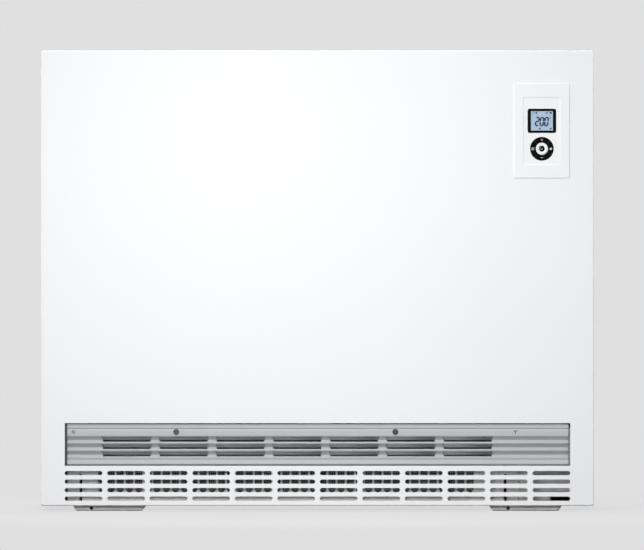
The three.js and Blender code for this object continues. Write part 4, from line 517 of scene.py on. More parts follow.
# %% [markdown]
# ## Front panel
# One sheet is pressed, folded back all round and punched: a window for the grille, a hole behind the
# control unit, and 48 inlet slots in 12 columns of 4. The face is a single fill with 50 holes, and
# each hole's edge is swept with the same punched profile.
# %% Front panel
SHEET = 1.0
EDGE_RADIUS = 1.6
CORNER_RADIUS = 3.5
PUNCH_RADIUS = 0.3
WINDOW_SIZE, WINDOW_BOTTOM, WINDOW_CORNER = (713.0, 60.0), 64.0, 0.6
UNIT_BODY, UNIT_CORNER, UNIT_PLAY = (53.0, 97.0), 2.0, 1.0
INLET_COLUMNS, INLET_ROWS = 12, 4
INLET_PITCH = (60.0, 12.0)
INLET_SIZE = (53.0, 6.0)
INLET_TOP_ROW = WINDOW_BOTTOM - 10.5

punch = punched(0, SHEET, PUNCH_RADIUS)
window_centre = (0, WINDOW_BOTTOM + WINDOW_SIZE[1] / 2)
housing_low, housing_high = limits("control_housing")
unit_centre = (housing_low + housing_high)[[0, 2]] / 2
inlets = [
    ((column - (INLET_COLUMNS - 1) / 2) * INLET_PITCH[0], INLET_TOP_ROW - row * INLET_PITCH[1])
    for column in range(INLET_COLUMNS)
    for row in range(INLET_ROWS)
]
panel_holes = [
    (rounded(window_centre, WINDOW_SIZE, WINDOW_CORNER), punch),
    (rounded(unit_centre, np.array(UNIT_BODY) + UNIT_PLAY, UNIT_CORNER), punch),
    *[(stadium(centre, *INLET_SIZE), punch) for centre in inlets],
]
panel_size = (panel_high - panel_low)[[0, 2]]
panel_outline = rounded((panel_low + panel_high)[[0, 2]] / 2, panel_size, CORNER_RADIUS)
panel_edge = folded(0, panel_high[1] - FACE, SHEET, EDGE_RADIUS)
panel = stood(plate(panel_outline, panel_edge, panel_holes), "front", FACE)
make("front_panel_skin", panel, "casing", powder_white, ["front_panel"])

# %% [markdown]
# ## Top, sides and back
# A folded strip is drawn as a line, as on a bending machine. The corners are rounded with a parabola
# through each fold, and the line is given the sheet's thickness before it is carried along. Extruding
# a curve would do the same, but here the bend is where the drawing says.
# %% Folded strips
def rounded_line(points, bend, steps=5):
    """A line whose inner corners are replaced by (1-t)² A + 2t(1-t) P + t² C, where A and C lie one bend
    before and after the corner P."""
    points = np.array(points, float)
    before, corner, after = points[:-2], points[1:-1], points[2:]
    toward = lambda a, b: (b - a) / np.linalg.norm(b - a, axis=1)[:, None]
    a, c = corner - bend * toward(before, corner), corner + bend * toward(corner, after)
    t = np.linspace(0, 1, steps + 1)[None, :, None]
    curves = (1 - t) ** 2 * a[:, None] + 2 * t * (1 - t) * corner[:, None] + t**2 * c[:, None]
    return np.concatenate([points[:1], curves.reshape(-1, 2), points[-1:]])


def thick(line, thickness):
    """The outline of a sheet that follows a line: the line plus and minus half the thickness times its
    normals, which are those of the chord between each point's neighbours."""
    chord = np.gradient(line, axis=0)
    normal = np.stack([-chord[:, 1], chord[:, 0]], -1) / np.linalg.norm(chord, axis=1)[:, None]
    return np.concatenate([line + normal * thickness / 2, (line - normal * thickness / 2)[::-1]])


def carried(section, span, axis):
    """A closed section carried between two limits on an axis, with both ends filled."""
    order = {"x": (2, 0, 1), "y": (0, 2, 1), "z": (0, 1, 2)}[axis]
    at = lambda level: np.column_stack([section, np.full(len(section), level)])[:, order]
    ends = [at(level) for level in span]
    return joined(lattice(np.stack(ends), closed=True), fill(ends[0]), fill(ends[1]))


def slab(low, high):
    """A plain rectangular sheet between two corners."""
    (x0, y0, z0), (x1, y1, z1) = low, high
    return carried(np.array([[x0, y0], [x1, y0], [x1, y1], [x0, y1]]), (z0, z1), "z")


# %% [markdown]
# The top cover is the same kind of pressing as the front, laid on its back with its flange turned down.
# A side panel is a strip folded at both edges, with the wider flange at the rear, where it takes the
# screws of the back. Both could be boxes with a bevel, but then they would be solid where the real ones
# are thin sheet.
# %% Top cover and side panels
BEND = 2.0
FRONT_FLANGE, REAR_FLANGE = 12.0, 20.0
cover_low, cover_high = limits("top_cover")
cover_loop = rounded((cover_low + cover_high)[:2] / 2, (cover_high - cover_low)[:2], CORNER_RADIUS)
cover_edge = folded(0, cover_high[2] - cover_low[2], SHEET, EDGE_RADIUS)
cover = stood(plate(cover_loop, cover_edge), "top", cover_high[2])
make("top_cover_skin", cover, "casing", powder_white, ["top_cover"])

for name, side in (("side_panel_left", -1), ("side_panel_right", 1)):
    low, high = limits(name)
    outer = max(abs(low[0]), abs(high[0])) - SHEET / 2
    front, rear = low[1] + SHEET / 2, high[1] - SHEET / 2
    corners = [(outer - FRONT_FLANGE, front), (outer, front), (outer, rear), (outer - REAR_FLANGE, rear)]
    web = carried(thick(rounded_line(corners, BEND), SHEET) * [side, 1], (low[2], high[2]), "z")
    make(f"{name}_skin", web, "casing", powder_white, [name])

# %% [markdown]
# The back is one wide sheet of galvanised steel, which would drum if it were plain, so it is pressed
# into three swages. A swage is a shallow ridge whose ends run out in a curve. It could be sculpted, but
# its height is simply a cosine across, times a smooth step near either end.
# %% Swage
SWAGE_ROOT = 0.4  # how far the closed ridge reaches into the web
rear_low, rear_high = limits("rear_panel")
rear_face = rear_low[1] + SHEET


def swage(x, z0, z1, half, rise):
    """A ridge along Z: height = rise · cos²(across) · smoothstep(distance from the ends), closed below."""
    across = np.linspace(-1, 1, 17)
    along = np.concatenate([np.linspace(0, 1, 9), np.linspace(0, 1, 9)[::-1]])
    z = np.concatenate([z0 + along[:9] * 2 * half, z1 - along[9:] * 2 * half])
    height = rise * np.cos(across * np.pi / 2) ** 2 * (along**2 * (3 - 2 * along))[:, None]
    x_grid, z_grid = np.meshgrid(x + across * half, z)
    top = np.stack([x_grid, rear_face + height, z_grid], -1)
    base = np.stack([x_grid, np.full_like(x_grid, rear_face - SWAGE_ROOT), z_grid], -1)
    rim = lambda grid: np.concatenate([grid[0], grid[1:, -1], grid[-1, -2::-1], grid[-2:0:-1, 0]])
    return joined(lattice(top), lattice(np.stack([rim(top), rim(base)]), closed=True), lattice(base))


# %% [markdown]
# The web also has six vents behind the wiring bay, punched like the inlet slots. Its folded edges screw to
# the sides. They could be bent from the web, but the round of that bend lies inside the casing, so two
# plain strips at its ends are enough.
# %% Rear panel
SWAGE_X = (-190.0, 0.0, 190.0)
SWAGE_HALF, SWAGE_RISE, SWAGE_MARGIN = 7.0, 2.5, 60.0
VENT_TOP_ROW, VENT_ROWS, VENT_PITCH = 560.0, 6, 14.0
VENT_SIZE = (60.0, 5.0)
REAR_PLAY = 0.2
vent_x = (limits("partition_panel")[0][0] + rear_high[0]) / 2
rear_edge = punched(0, SHEET, 0.2)
vents = [
    (stadium((vent_x, VENT_TOP_ROW - row * VENT_PITCH), *VENT_SIZE), rear_edge) for row in range(VENT_ROWS)
]
web_size = (rear_high - rear_low)[[0, 2]] - REAR_PLAY
web = plate(rounded((rear_low + rear_high)[[0, 2]] / 2, web_size, 1), rear_edge, vents)
swages = [
    swage(x, rear_low[2] + SWAGE_MARGIN, rear_high[2] - SWAGE_MARGIN, SWAGE_HALF, SWAGE_RISE) for x in SWAGE_X
]
flanges = [
    slab((x, rear_low[1] + REAR_PLAY, rear_low[2]), (x + SHEET, rear_high[1], rear_high[2]))
    for x in (rear_low[0], rear_high[0] - SHEET)
]
back = joined(stood(web, "front", rear_low[1]), *swages, *flanges)
make("rear_panel_skin", back, "casing", zinc_coat, ["rear_panel"])

# %% [markdown]
# ## Outlet grille
# The grille is one long aluminium section: a bead and a flute on top, a plain band with the locks, three
# grooves between sharp noses, and a flat foot. The section is a rounded line from the top flange down
# to the bottom one, so a change of one depth or drop moves everything below it.
# %% Grille section
GRILLE_SHEET = 1.2
BAND_DEPTH, GROOVE_DEPTH = 2.6, 9.2  # behind the panel's face
BAND_DROP, NOSE_PITCH, NOSE_HEIGHT = 18.0, 10.4, 0.4
OUTLET_ROWS = 3
SLOT_TOP, SLOT_BOTTOM = 0.4, 8.6  # below each nose
GROOVE_FLOOR = (5.6, 5.9)  # below each nose, where the groove is deepest
# (behind the band, below the top), then (behind the band, below the last nose), then (behind, above the foot)
BEAD_AND_FLUTE = [(2, 0), (2, 2.2), (0, 3.4), (0, 5.4), (1, 6.6), (1, 7.8), (0, 9)]
TOE = (1, 2.4)
HEEL = [(0, 1.6), (1.6, 0)]
SECTION_BEND = 0.34

grille_low, grille_high = limits("outlet_grille")
window_top = WINDOW_BOTTOM + WINDOW_SIZE[1]
top, foot = grille_high[2] - GRILLE_SHEET / 2, grille_low[2] + GRILLE_SHEET / 2
band, deepest = FACE + BAND_DEPTH, FACE + GROOVE_DEPTH
noses = window_top - BAND_DROP - NOSE_PITCH * np.arange(OUTLET_ROWS + 1)
climb = (SLOT_BOTTOM - GROOVE_FLOOR[1]) / (NOSE_PITCH - NOSE_HEIGHT - GROOVE_FLOOR[1])
at_slot = deepest + (BAND_DEPTH - GROOVE_DEPTH) * climb

section = [(grille_high[1], top), *[(band + behind, top - drop) for behind, drop in BEAD_AND_FLUTE]]
for upper, lower in zip(noses[:-1], noses[1:]):
    section += [(band, upper), *[(deepest, upper - drop) for drop in GROOVE_FLOOR]]
    section += [(at_slot, upper - SLOT_BOTTOM), (band, lower + NOSE_HEIGHT)]
section += [(band, noses[-1]), (band + TOE[0], noses[-1] - TOE[1])]
section += [(band + behind, foot + rise) for behind, rise in HEEL]
section = rounded_line(section + [(grille_high[1], foot)], SECTION_BEND, 3)
print("grille section:", len(section), "points")

# %% [markdown]
# Seven slots are punched through each groove. The section is carried along X on a grid whose columns
# fall on the slots' ends, so a slot is simply cells left out, and no boolean cut has to find its way
# through a curved sheet.
# %% Grille slots
OUTLET_COLUMNS = 7
OUTLET_PITCH, OUTLET_LENGTH, OUTLET_FIRST = 80.2, 70.0, 52.4
END_LEAN = 0.2  # how much a slot's ends lean inwards for each millimetre of drop
GUARD = 1.2  # narrow columns at every end keep the long faces' shading even

outlet_left = -WINDOW_SIZE[0] / 2 + OUTLET_FIRST + np.arange(OUTLET_COLUMNS) * OUTLET_PITCH
outlet_ends = np.stack([outlet_left, outlet_left + OUTLET_LENGTH], -1)
guarded_ends = outlet_ends.ravel()[:, None] + np.array([-GUARD, 0, GUARD])
columns = np.concatenate([grille_low[0] + [0, GUARD], guarded_ends.ravel(), grille_high[0] - [GUARD, 0]])
inward = np.concatenate([[0, 0], np.repeat(np.tile([1, -1], OUTLET_COLUMNS), 3), [0, 0]])
grid = np.empty((len(section), len(columns), 3))
grid[..., 0] = columns + inward * END_LEAN * ((noses[0] - section[:, 1]) % NOSE_PITCH)[:, None]
grid[..., 1:] = section[:, None, :]

mid_x = (columns[:-1] + columns[1:]) / 2
mid_z = (section[:-1, 1] + section[1:, 1]) / 2
below_nose = (noses[0] - mid_z) % NOSE_PITCH
in_grooves = (mid_z < noses[0]) & (mid_z > noses[-1])
in_slot_height = in_grooves & (below_nose > SLOT_TOP) & (below_nose < SLOT_BOTTOM)
in_slot_length = ((mid_x > outlet_ends[:, :1]) & (mid_x < outlet_ends[:, 1:])).any(0)
bars = lattice(grid, keep=~(in_slot_height[:, None] & in_slot_length[None, :]))
print("grille slots:", OUTLET_COLUMNS * OUTLET_ROWS, "and", len(bars[1][0]), "cells left")

# %% [markdown]
# The metal above each slot is bent inwards as a vane, which turns the warm air down and hides the duct.
# Each vane is a small curved sheet under its nose. Solidify then gives the whole skin its thickness,
# which is simpler here than sweeping two skins.
# %% Grille vanes
VANE_DEPTH, VANE_DROP = 9.5, 5.5
VANE_START, VANE_PLAY = 0.7, 0.6  # behind the band, and from the slot's ends


def vane(x0, x1, nose):
    """A flap bent inwards under a nose. It leaves the edge of the slot along the groove's flank and curves
    down, as its depth goes with t(1.4 - 0.4t) and its drop with t(0.8 + 0.2t)."""
    t = np.linspace(0, 1, 7)
    start = np.array([band + VANE_START, nose - SLOT_TOP])
    reach = FACE + VANE_DEPTH - start[0]
    line = start + np.stack([reach * t * (1.4 - 0.4 * t), -VANE_DROP * t * (0.8 + 0.2 * t)], -1)
    sheet = np.empty((len(t), 2, 3))
    sheet[:, 0, 0], sheet[:, 1, 0] = x0 + VANE_PLAY + t, x1 - VANE_PLAY - t
    sheet[..., 1:] = line[:, None, :]
    return lattice(sheet)


vanes = [vane(x0, x1, nose) for nose in noses[:-1] for x0, x1 in outlet_ends]
grille_skin = joined(bars, *vanes)
grille = make(
    "outlet_grille_skin", grille_skin, "casing", satin_aluminium, ["outlet_grille"], 50
)
wall = grille.modifiers.new("sheet", "SOLIDIFY")
wall.thickness = GRILLE_SHEET * MM
wall.offset = 0

# %% [markdown]
# The grille is a little shorter than its window, and metal shows in the gap at either end: dark and deep
# on the left, nearer and lighter on the right, where it starts below the bead. Only a narrow strip of
# either tab is seen, so two plain slabs will do.
# %% End tabs
END_TABS = {  # side: (from, to) along X, depth, distance below the grille's top, finish
    "left": ((-WINDOW_SIZE[0] / 2 - 1, grille_low[0] - 0.2), 8.2, 1.0, plated_steel),
    "right": ((grille_high[0] - 1, WINDOW_SIZE[0] / 2 + 1), 4.2, 6.5, stamped_steel),
}
for side, ((x0, x1), depth, drop, tab_finish) in END_TABS.items():
    tab_low, tab_high = (x0, FACE + depth, grille_low[2] + 1), (x1, FACE + depth + 1, grille_high[2] - drop)
    make(f"grille_end_tab_{side}", slab(tab_low, tab_high), "casing", tab_finish)

# %% [markdown]
# Behind the lowest row of slots the duct's floor turns up in a lip. It shows as a grey strip under the
# vanes, except near both ends, where it stops short and the slots stay black. A flat strip would show
# the same, but a folded line costs no more and starts from the floor as the real sheet does.
# %% Duct lip
DUCT_LIP_X, DUCT_LIP_HEIGHT, DUCT_LIP_FOOT = (-257.0, 224.0), 17.0, 8.0
DUCT_LIP_INSET = 0.6  # from the duct's lowest corner to the middle of the lip's sheet
duct_front, duct_bottom = limits("air_duct")[0][1:]
lip_front, lip_floor = duct_front + DUCT_LIP_INSET, duct_bottom + DUCT_LIP_INSET
lip_line = [(duct_front + DUCT_LIP_FOOT, lip_floor), (lip_front, lip_floor)]
lip_line.append((lip_front, duct_bottom + DUCT_LIP_HEIGHT))
lip_sheet = carried(thick(rounded_line(lip_line, 1.2), SHEET), DUCT_LIP_X, "x")
make("duct_lip", lip_sheet, "casing", stamped_steel)

# %% [markdown]
# Two small signs are pressed into the grille's band near its ends: a chevron that points to the end, and
# a fork. A picture on the metal could show them, but it would blur up close. Here each is a few thin
# bars with pointed ends, a shape that the display and the keys need too.
# %% Signs on the grille
def bar(start, end, width, point=0.5):
    """A bar from start to end, with ends pointed by a share of its width."""
    start, end = np.array(start, float), np.array(end, float)
    along = (end - start) / np.linalg.norm(end - start) * width * point
    across = np.array([-along[1], along[0]]) / point / 2
    left_side = [start + along + across, end - along + across]
    right_side = [end - along - across, start + along - across]
    return [start, *left_side, end, *right_side]


SIGN_HEIGHT, CHEVRON_X, FORK_X = window_top - 12.2, -345.2, 279.3
CHEVRON = [
    bar((1.2, 2.2), (-1.8, 0), 1.2), bar((-1.8, 0), (1.2, -2.4), 1.2), bar((2.2, 2.4), (2.2, -2.6), 1.0)
]
FORK = [bar((-2.3, 2.4), (0, -0.2), 1.2), bar((2.6, 2.5), (0, -0.2), 1.0), bar((0, 0), (0, -2.8), 1.2)]
sign_front = band - GRILLE_SHEET / 2
sign_span = (sign_front - 0.05, sign_front + 0.3)
signs = [
    carried(np.array([x, SIGN_HEIGHT]) + np.array(outline), sign_span, "y")
    for x, sign in ((CHEVRON_X, CHEVRON), (FORK_X, FORK))
    for outline in sign
]
make("grille_signs", joined(*signs), "casing", plated_steel)

# %% [markdown]
# Two quarter-turn locks hold the grille. Each is a turned steel head with a driver slot, a shank, and a
# cam that swings behind the shelf's lip. Turned parts come from a profile of radius and depth that is
# spun about the lock's own axis, as on a lathe.
# %% Locks
LOCK_RADIUS, LOCK_THICKNESS, LOCK_SHANK = 4.0, 1.3, 2.4
LOCK_SLOT = (2 * LOCK_RADIUS - 1.6, 1.3)
CAM_HALF, CAM_THICKNESS = 3.0, 2.0


def turned(profile, centre, level, steps=48):
    """A profile of (radius, depth) spun about an axis along Y: x = cx + r cos a, z = cz + r sin a."""
    turn = np.arange(steps) / steps * 2 * np.pi
    radius, depth = np.array(profile, float).T[:, :, None]
    x, z = centre[0] + radius * np.cos(turn), centre[1] + radius * np.sin(turn)
    return lattice(np.stack([x, np.broadcast_to(level + depth, x.shape), z], -1), closed=True)


def slotted_head(centre, level, radius, thickness, slot):
    """A round head whose driver slot is cut through its front plate, with a solid disc behind it."""
    groove = (stadium(centre, *slot), punched(0, thickness, 0.1))
    front = plate(ring(centre, radius, 48), punched(0, thickness, 0.3), [groove])
    start, inside = thickness - slot[1] * 0.4, radius - 0.4
    disc = turned([(0, start), (inside, start), (inside, thickness), (0, thickness)], centre, level)
    return joined(stood(front, "front", level), disc)


for side in ("left", "right"):
    node = f"grille_lock_{side}"
    low, high = limits(node)
    centre = ((low[0] + high[0]) / 2, low[2] + LOCK_RADIUS)
    head = slotted_head(centre, low[1], LOCK_RADIUS, LOCK_THICKNESS, LOCK_SLOT)
    reach = high[1] - low[1]
    shank = turned([(0, 1), (LOCK_SHANK, 1), (LOCK_SHANK, reach), (0, reach)], centre, low[1])
    cam_low = (centre[0] - CAM_HALF, high[1] - CAM_THICKNESS, centre[1] - CAM_HALF)
    cam = slab(cam_low, (centre[0] + CAM_HALF, high[1], high[2]))
    make(f"lock_{side}", joined(head, shank, cam), f"{side}_lock", plated_steel, [node])

# %% [markdown]
# ## Control unit
# The control unit is a white moulding: a raised bezel, a recess with the fascia at its floor, and a
# sleeve that reaches through the panel. It could be a box with its openings cut by booleans. Sweeping
# each step and each opening instead keeps bezel, step and fascia a single skin with small, even
# round-overs.
# %% Control housing
BEZEL_RISE, BEZEL_CORNER = 1.3, 2.0
RECESS_SIZE, RECESS_CORNER, RECESS_DEPTH, STEP_RADIUS = (51.7, 95.5), 1.2, 0.9, 0.15
FASCIA_THICKNESS = 1.5
OPENING_PLAY, OPENING_CORNER = 0.6, 3.0
SLEEVE_WALL, SLEEVE_CORNER = 1.5, 1.0
RING_RADIUS, RING_INNER, RING_GAP = 16.4, 9.0, 0.3
middle_key = sum(limits("key_ok")) / 2
key_centre = middle_key[[0, 2]]
glass_low, glass_high = limits("display_window")
glass_centre, glass_size = (glass_low + glass_high)[[0, 2]] / 2, (glass_high - glass_low)[[0, 2]]

step = np.concatenate([
    [[-STEP_RADIUS - LEAD, 0]], quarter(STEP_RADIUS), [[0, RECESS_DEPTH], [LEAD, RECESS_DEPTH]]
])
through = punched(RECESS_DEPTH, FASCIA_THICKNESS, STEP_RADIUS)
bezel_outline = rounded(unit_centre, (housing_high - housing_low)[[0, 2]], BEZEL_CORNER)
bezel_edge = swept(bezel_outline, punched(0, BEZEL_RISE, 0.3))
sleeve_depth = housing_high[1] - housing_low[1] - BEZEL_RISE
sleeve_edge = punched(BEZEL_RISE, sleeve_depth, 0.2)
recess = swept(rounded(unit_centre, RECESS_SIZE, RECESS_CORNER), step, True)
openings = [
    swept(rounded(glass_centre, glass_size + OPENING_PLAY, OPENING_CORNER), through, True),
    swept(ring(key_centre, RING_RADIUS + RING_GAP, 96), through, True),
]
moulding = joined(
    *[lattice(grid, closed=True) for grid in (bezel_edge, recess, *openings)],
    fill(bezel_edge[0], recess[0]),
    fill(recess[-1], *[opening[0] for opening in openings]),
    fill(bezel_edge[-1], *[opening[-1] for opening in openings]),
)
inner = rounded(unit_centre, np.array(UNIT_BODY) - 2 * SLEEVE_WALL, SLEEVE_CORNER)
sleeve = plate(rounded(unit_centre, UNIT_BODY, UNIT_CORNER), sleeve_edge, [(inner, sleeve_edge)])
housing = stood(joined(moulding, sleeve), "front", housing_low[1])
make("control_housing_skin", housing, "casing", moulded_white, ["control_housing"])

# %% [markdown]
# The display is a light blue LCD behind a polished black frame. One flat picture could show both. But the
# frame is a plate with one hole, and the screen is a sheet just behind it, so the frame casts its thin
# shade on the screen as the real one does.
# %% Display frame and screen
FRAME_THICKNESS, FRAME_CORNER = 1.1, 2.8
SCREEN_SIZE, SCREEN_CORNER, SCREEN_DEPTH = np.array([31.0, 27.4]), 0.8, 0.35
frame_outline = rounded(glass_centre, glass_size, FRAME_CORNER)
screen_hole = (rounded(glass_centre, SCREEN_SIZE, SCREEN_CORNER), punched(0, FRAME_THICKNESS, 0.1))
frame_plate = plate(frame_outline, punched(0, FRAME_THICKNESS, 0.25), [screen_hole])
black_frame = stood(frame_plate, "front", glass_low[1])
make("display_frame", black_frame, "casing", polished_black, ["display_window"])
screen_plate = plate(rounded(glass_centre, SCREEN_SIZE + 1, SCREEN_CORNER), punched(SCREEN_DEPTH, 0.7, 0.05))
make("display_screen", stood(screen_plate, "front", glass_low[1]), "casing", display_glow)

# %% [markdown]
# The figures are seven-segment ones. A font could draw them, but each segment is only a bar with pointed
# ends, so a table of which bars are lit is enough, and the whole figure leans a little.
# %% Figures
SEGMENTS = {  # ends of each bar, in shares of a figure's width and height
    "a": ((0, 1), (1, 1)), "b": ((1, 1), (1, 0.5)), "c": ((1, 0.5), (1, 0)), "d": ((0, 0), (1, 0)),
    "e": ((0, 0), (0, 0.5)), "f": ((0, 0.5), (0, 1)), "g": ((0, 0.5), (1, 0.5)),
}
SHOWN = ("abged", "abcdef", "abcdef")  # 2, 0 and 0
FIGURE_SIZE = np.array([4.3, 11.4])
FIGURE_PITCH, FIGURE_LEFT, FIGURE_BOTTOM = 6.5, -8.6, -6.7
STROKE, LEAN = 2.3, 0.08


def spot(centre, radius, sides):
    """A regular outline of the given number of sides."""
    turn = np.arange(sides) / sides * 2 * np.pi + np.pi / 2
    return np.array(centre) + radius * np.stack([np.cos(turn), np.sin(turn)], -1)


def lean(points):
    """Figures slope forwards: u grows with v."""
    return np.array(points) @ np.array([[1, 0], [LEAN, 1]])


def figure(place, shown):
    """The lit bars of one figure, at its place in the row."""
    corner = np.array([FIGURE_LEFT + place * FIGURE_PITCH, FIGURE_BOTTOM])
    return [lean(corner + np.array(bar(*np.array(SEGMENTS[key]) * FIGURE_SIZE, STROKE))) for key in shown]


figures = [mark for place, shown in enumerate(SHOWN) for mark in figure(place, shown)]
figures.append(lean(spot((FIGURE_LEFT + 2 * FIGURE_PITCH - 1.1, FIGURE_BOTTOM), 0.75, 4)))
print("figures:", len(figures), "marks")

# %% [markdown]
# The small signs round the figures are plain shapes: a degree ring, a clock, a drop, rising bars, a
# house, a flame and a sun. A closed chain of bars is a ring, and a circle with its top pulled out is a
# drop or a flame.
# %% Small signs
def chain(centre, radius, sides, width):
    """A ring of bars: one along each side of a regular outline."""
    corners = spot(centre, radius, sides)
    return [bar(start, end, width) for start, end in zip(corners, np.roll(corners, -1, axis=0))]


def pointed(tip, centre, radius):
    """A drop: most of a circle, closed over a tip."""
    return [np.concatenate([[tip], spot(centre, radius, 12)[2:11]])]


def tile(outline):
    """A thin flat mark with a given outline on the display, measured from its middle."""
    ink_front = glass_low[1] + SCREEN_DEPTH - 0.05
    return carried(glass_centre + np.array(outline, float), (ink_front, ink_front + 0.15), "y")


degree = chain((11.4, 4.4), 1.1, 6, 0.6)
clock = chain((-12.2, 11.4), 1.5, 12, 0.35)
clock += [bar((-12.2, 11.4), (-12.2, 12.4), 0.35), bar((-12.2, 11.4), (-11.5, 11.4), 0.35)]
drop = pointed((-7.8, 13.2), (-7.8, 11.2), 1.3)
rising = [bar((5.0 + i, 10.2), (5.0 + i, 11.2 + 0.7 * i), 0.55, 0.1) for i in range(4)]
house = [[(10.9, 10.2), (14.1, 10.2), (14.1, 11.7), (12.5, 13.2), (10.9, 11.7)]]
flame = pointed((-2.6, -8.7), (-2.9, -11.0), 1.2)
sun = [bar(-ray + (12.5, -10.9), ray + (12.5, -10.9), 0.5) for ray in spot((0, 0), 1.7, 8)[:4]]
marks = [tile(mark) for mark in figures + degree + clock + drop + rising + house + flame + sun]
make("display_figures", joined(*marks), "casing", display_ink)

# %% [markdown]
# Four black keys share a ring. One ring cut in four would look the same at rest, but every real key is
# its own moulding, with a lip that stops it behind the fascia. So each has its own outline and travels
# on its own body, and its sign is a white print that rides with it.
# %% Ring keys
KEY_FRONT = limits("key_plus")[0][1]
KEY_CAP, KEY_LIP, KEY_LIP_THICKNESS, RING_SPLIT = 3.0, 1.6, 1.2, 0.45
SIGNS = {  # key: outlines of its sign, measured from the place of the sign on the ring
    "plus": [bar((-1.6, 0), (1.6, 0), 0.6, 0.1), bar((0, -1.6), (0, 1.6), 0.6, 0.1)],
    "mode": [[(-1.6, -1.7), (1.6, -1.7), (1.6, 0.1), (2.1, 0.1), (0, 2.0), (-2.1, 0.1), (-1.6, 0.1)]],
    "minus": [bar((-1.6, 0), (1.6, 0), 0.6, 0.1)],
    "menu": [bar((-1.9, 1.3 * i), (1.9, 1.3 * i), 0.6, 0.1) for i in (-1, 0, 1)],
}
cap_edge = punched(0, KEY_CAP + KEY_LIP_THICKNESS, 0.45)
lip_depth = limits("key_plus")[1][1] - KEY_LIP_THICKNESS - KEY_FRONT
lip_edge = punched(lip_depth, KEY_LIP_THICKNESS, 0.1)
print_span = (KEY_FRONT - 0.04, KEY_FRONT + 0.1)


def sector(middle, inner_radius, outer_radius, steps=24):
    """A quarter of a ring about a middle angle: an outer arc and an inner arc back, both shortened by half
    the split."""
    arc = lambda radius: middle + np.linspace(-1, 1, steps + 1) * (np.pi / 4 - RING_SPLIT / 2 / radius)
    at = lambda radius, turn: radius * np.stack([np.cos(turn), np.sin(turn)], -1)
    outer_arc, inner_arc = at(outer_radius, arc(outer_radius)), at(inner_radius, arc(inner_radius))[::-1]
    return outlined(key_centre + np.concatenate([outer_arc, inner_arc]))


for number, (key, sign) in enumerate(SIGNS.items()):
    middle = np.pi / 2 * (1 - number)
    cap = plate(sector(middle, RING_INNER, RING_RADIUS), cap_edge)
    lip = plate(sector(middle, RING_INNER, RING_RADIUS + KEY_LIP), lip_edge)
    key_skin = stood(joined(cap, lip), "front", KEY_FRONT)
    make(f"{key}_key", key_skin, f"{key}_button", polished_black, [f"key_{key}"])
    place = key_centre + (RING_INNER + RING_RADIUS) / 2 * np.array([np.cos(middle), np.sin(middle)])
    printed = [carried(place + np.array(outline), print_span, "y") for outline in sign]
    make(f"{key}_sign", joined(*printed), f"{key}_button", key_print)

# %% [markdown]
# A white key with a black spot sits in the middle of the ring. A cylinder with a bevel would come close,
# but a turned profile, as for the locks, also gives it the dish for the spot and the hollow back. Its
# tick is made of two bars.
# %% Middle key
OK_RADIUS, OK_ROUND, SPOT_RADIUS = 8.6, 0.7, 4.2
OK_HOLLOW = (2.5, 1.9)  # radius and depth of the hollow in its back
ok_low, ok_high = limits("key_ok")
ok_depth = ok_high[1] - ok_low[1]
hollow_radius, hollow_floor = OK_HOLLOW[0], ok_depth - OK_HOLLOW[1]
ok_profile = [
    (0, 0.5), (SPOT_RADIUS, 0.5), (SPOT_RADIUS + 0.1, 0.15), (SPOT_RADIUS + 0.4, 0),
    (OK_RADIUS - OK_ROUND, 0),
    *(quarter(OK_ROUND) + [OK_RADIUS, 0])[1:], (OK_RADIUS, ok_depth),
    (hollow_radius, ok_depth), (hollow_radius, hollow_floor), (0, hollow_floor),
]
ok_skin = turned(ok_profile, key_centre, ok_low[1], 96)
make("ok_key", ok_skin, "ok_button", moulded_white, ["key_ok"])
spot_profile = [
    (0, 0.12), (SPOT_RADIUS - 0.6, 0.14), (SPOT_RADIUS - 0.2, 0.3), (SPOT_RADIUS - 0.1, 0.6), (0, 0.6)
]
ok_spot = turned(spot_profile, key_centre, ok_low[1], 64)
make("ok_spot", ok_spot, "ok_button", polished_black)
tick = [bar((-1.5, -0.1), (-0.4, -1.2), 0.45, 0.1), bar((-0.5, -1.2), (1.5, 1.1), 0.45, 0.1)]
tick_span = (ok_low[1] + 0.06, ok_low[1] + 0.3)
tick_marks = [carried(key_centre + np.array(outline), tick_span, "y") for outline in tick]
make("ok_sign", joined(*tick_marks), "ok_button", key_print)

# %% [markdown]
# ## Behind the inlet slots
# The fan drawer's front has 41 upright slots, and a fluff filter lies behind them. Both show through
# the panel's slots. An array modifier could repeat one slot, but the sheet's fill takes a list of holes
# anyway, so the drawer is made as the front is: a punched sheet, and a tray folded from one line.
# %% Fan drawer
DRAWER_SIDE_GAP, DRAWER_EAR = 3.8, 11.0
DRAWER_LIP, DRAWER_REAR, DRAWER_SIDE = (14.0, 5.0), 20.0, 40.0
INTAKE_COUNT, INTAKE_PITCH, INTAKE_SIZE = 41, 13.0, (34.0, 10.0)
INTAKE_FIRST, INTAKE_TOP_MARGIN = 22.6, 2.8
drawer_low, drawer_high = limits("fan_drawer")
left = limits("bay_rail_left")[1][0] + DRAWER_SIDE_GAP
right = limits("bay_rail_right")[0][0] - DRAWER_SIDE_GAP
front, rear = drawer_low[1] + DRAWER_LIP[1], drawer_high[1]
bottom, rim = drawer_low[2], drawer_high[2]
lip_top, ear_bottom = bottom + DRAWER_LIP[0], rim - DRAWER_EAR
front_outline = [
    (left, lip_top - SHEET), (right, lip_top - SHEET), (right, ear_bottom), (drawer_high[0], ear_bottom),
    (drawer_high[0], rim), (drawer_low[0], rim), (drawer_low[0], ear_bottom), (left, ear_bottom),
]
intake_x = left + INTAKE_FIRST + INTAKE_SIZE[1] / 2 + INTAKE_PITCH * np.arange(INTAKE_COUNT)
intake_z = rim - INTAKE_TOP_MARGIN - INTAKE_SIZE[0] / 2
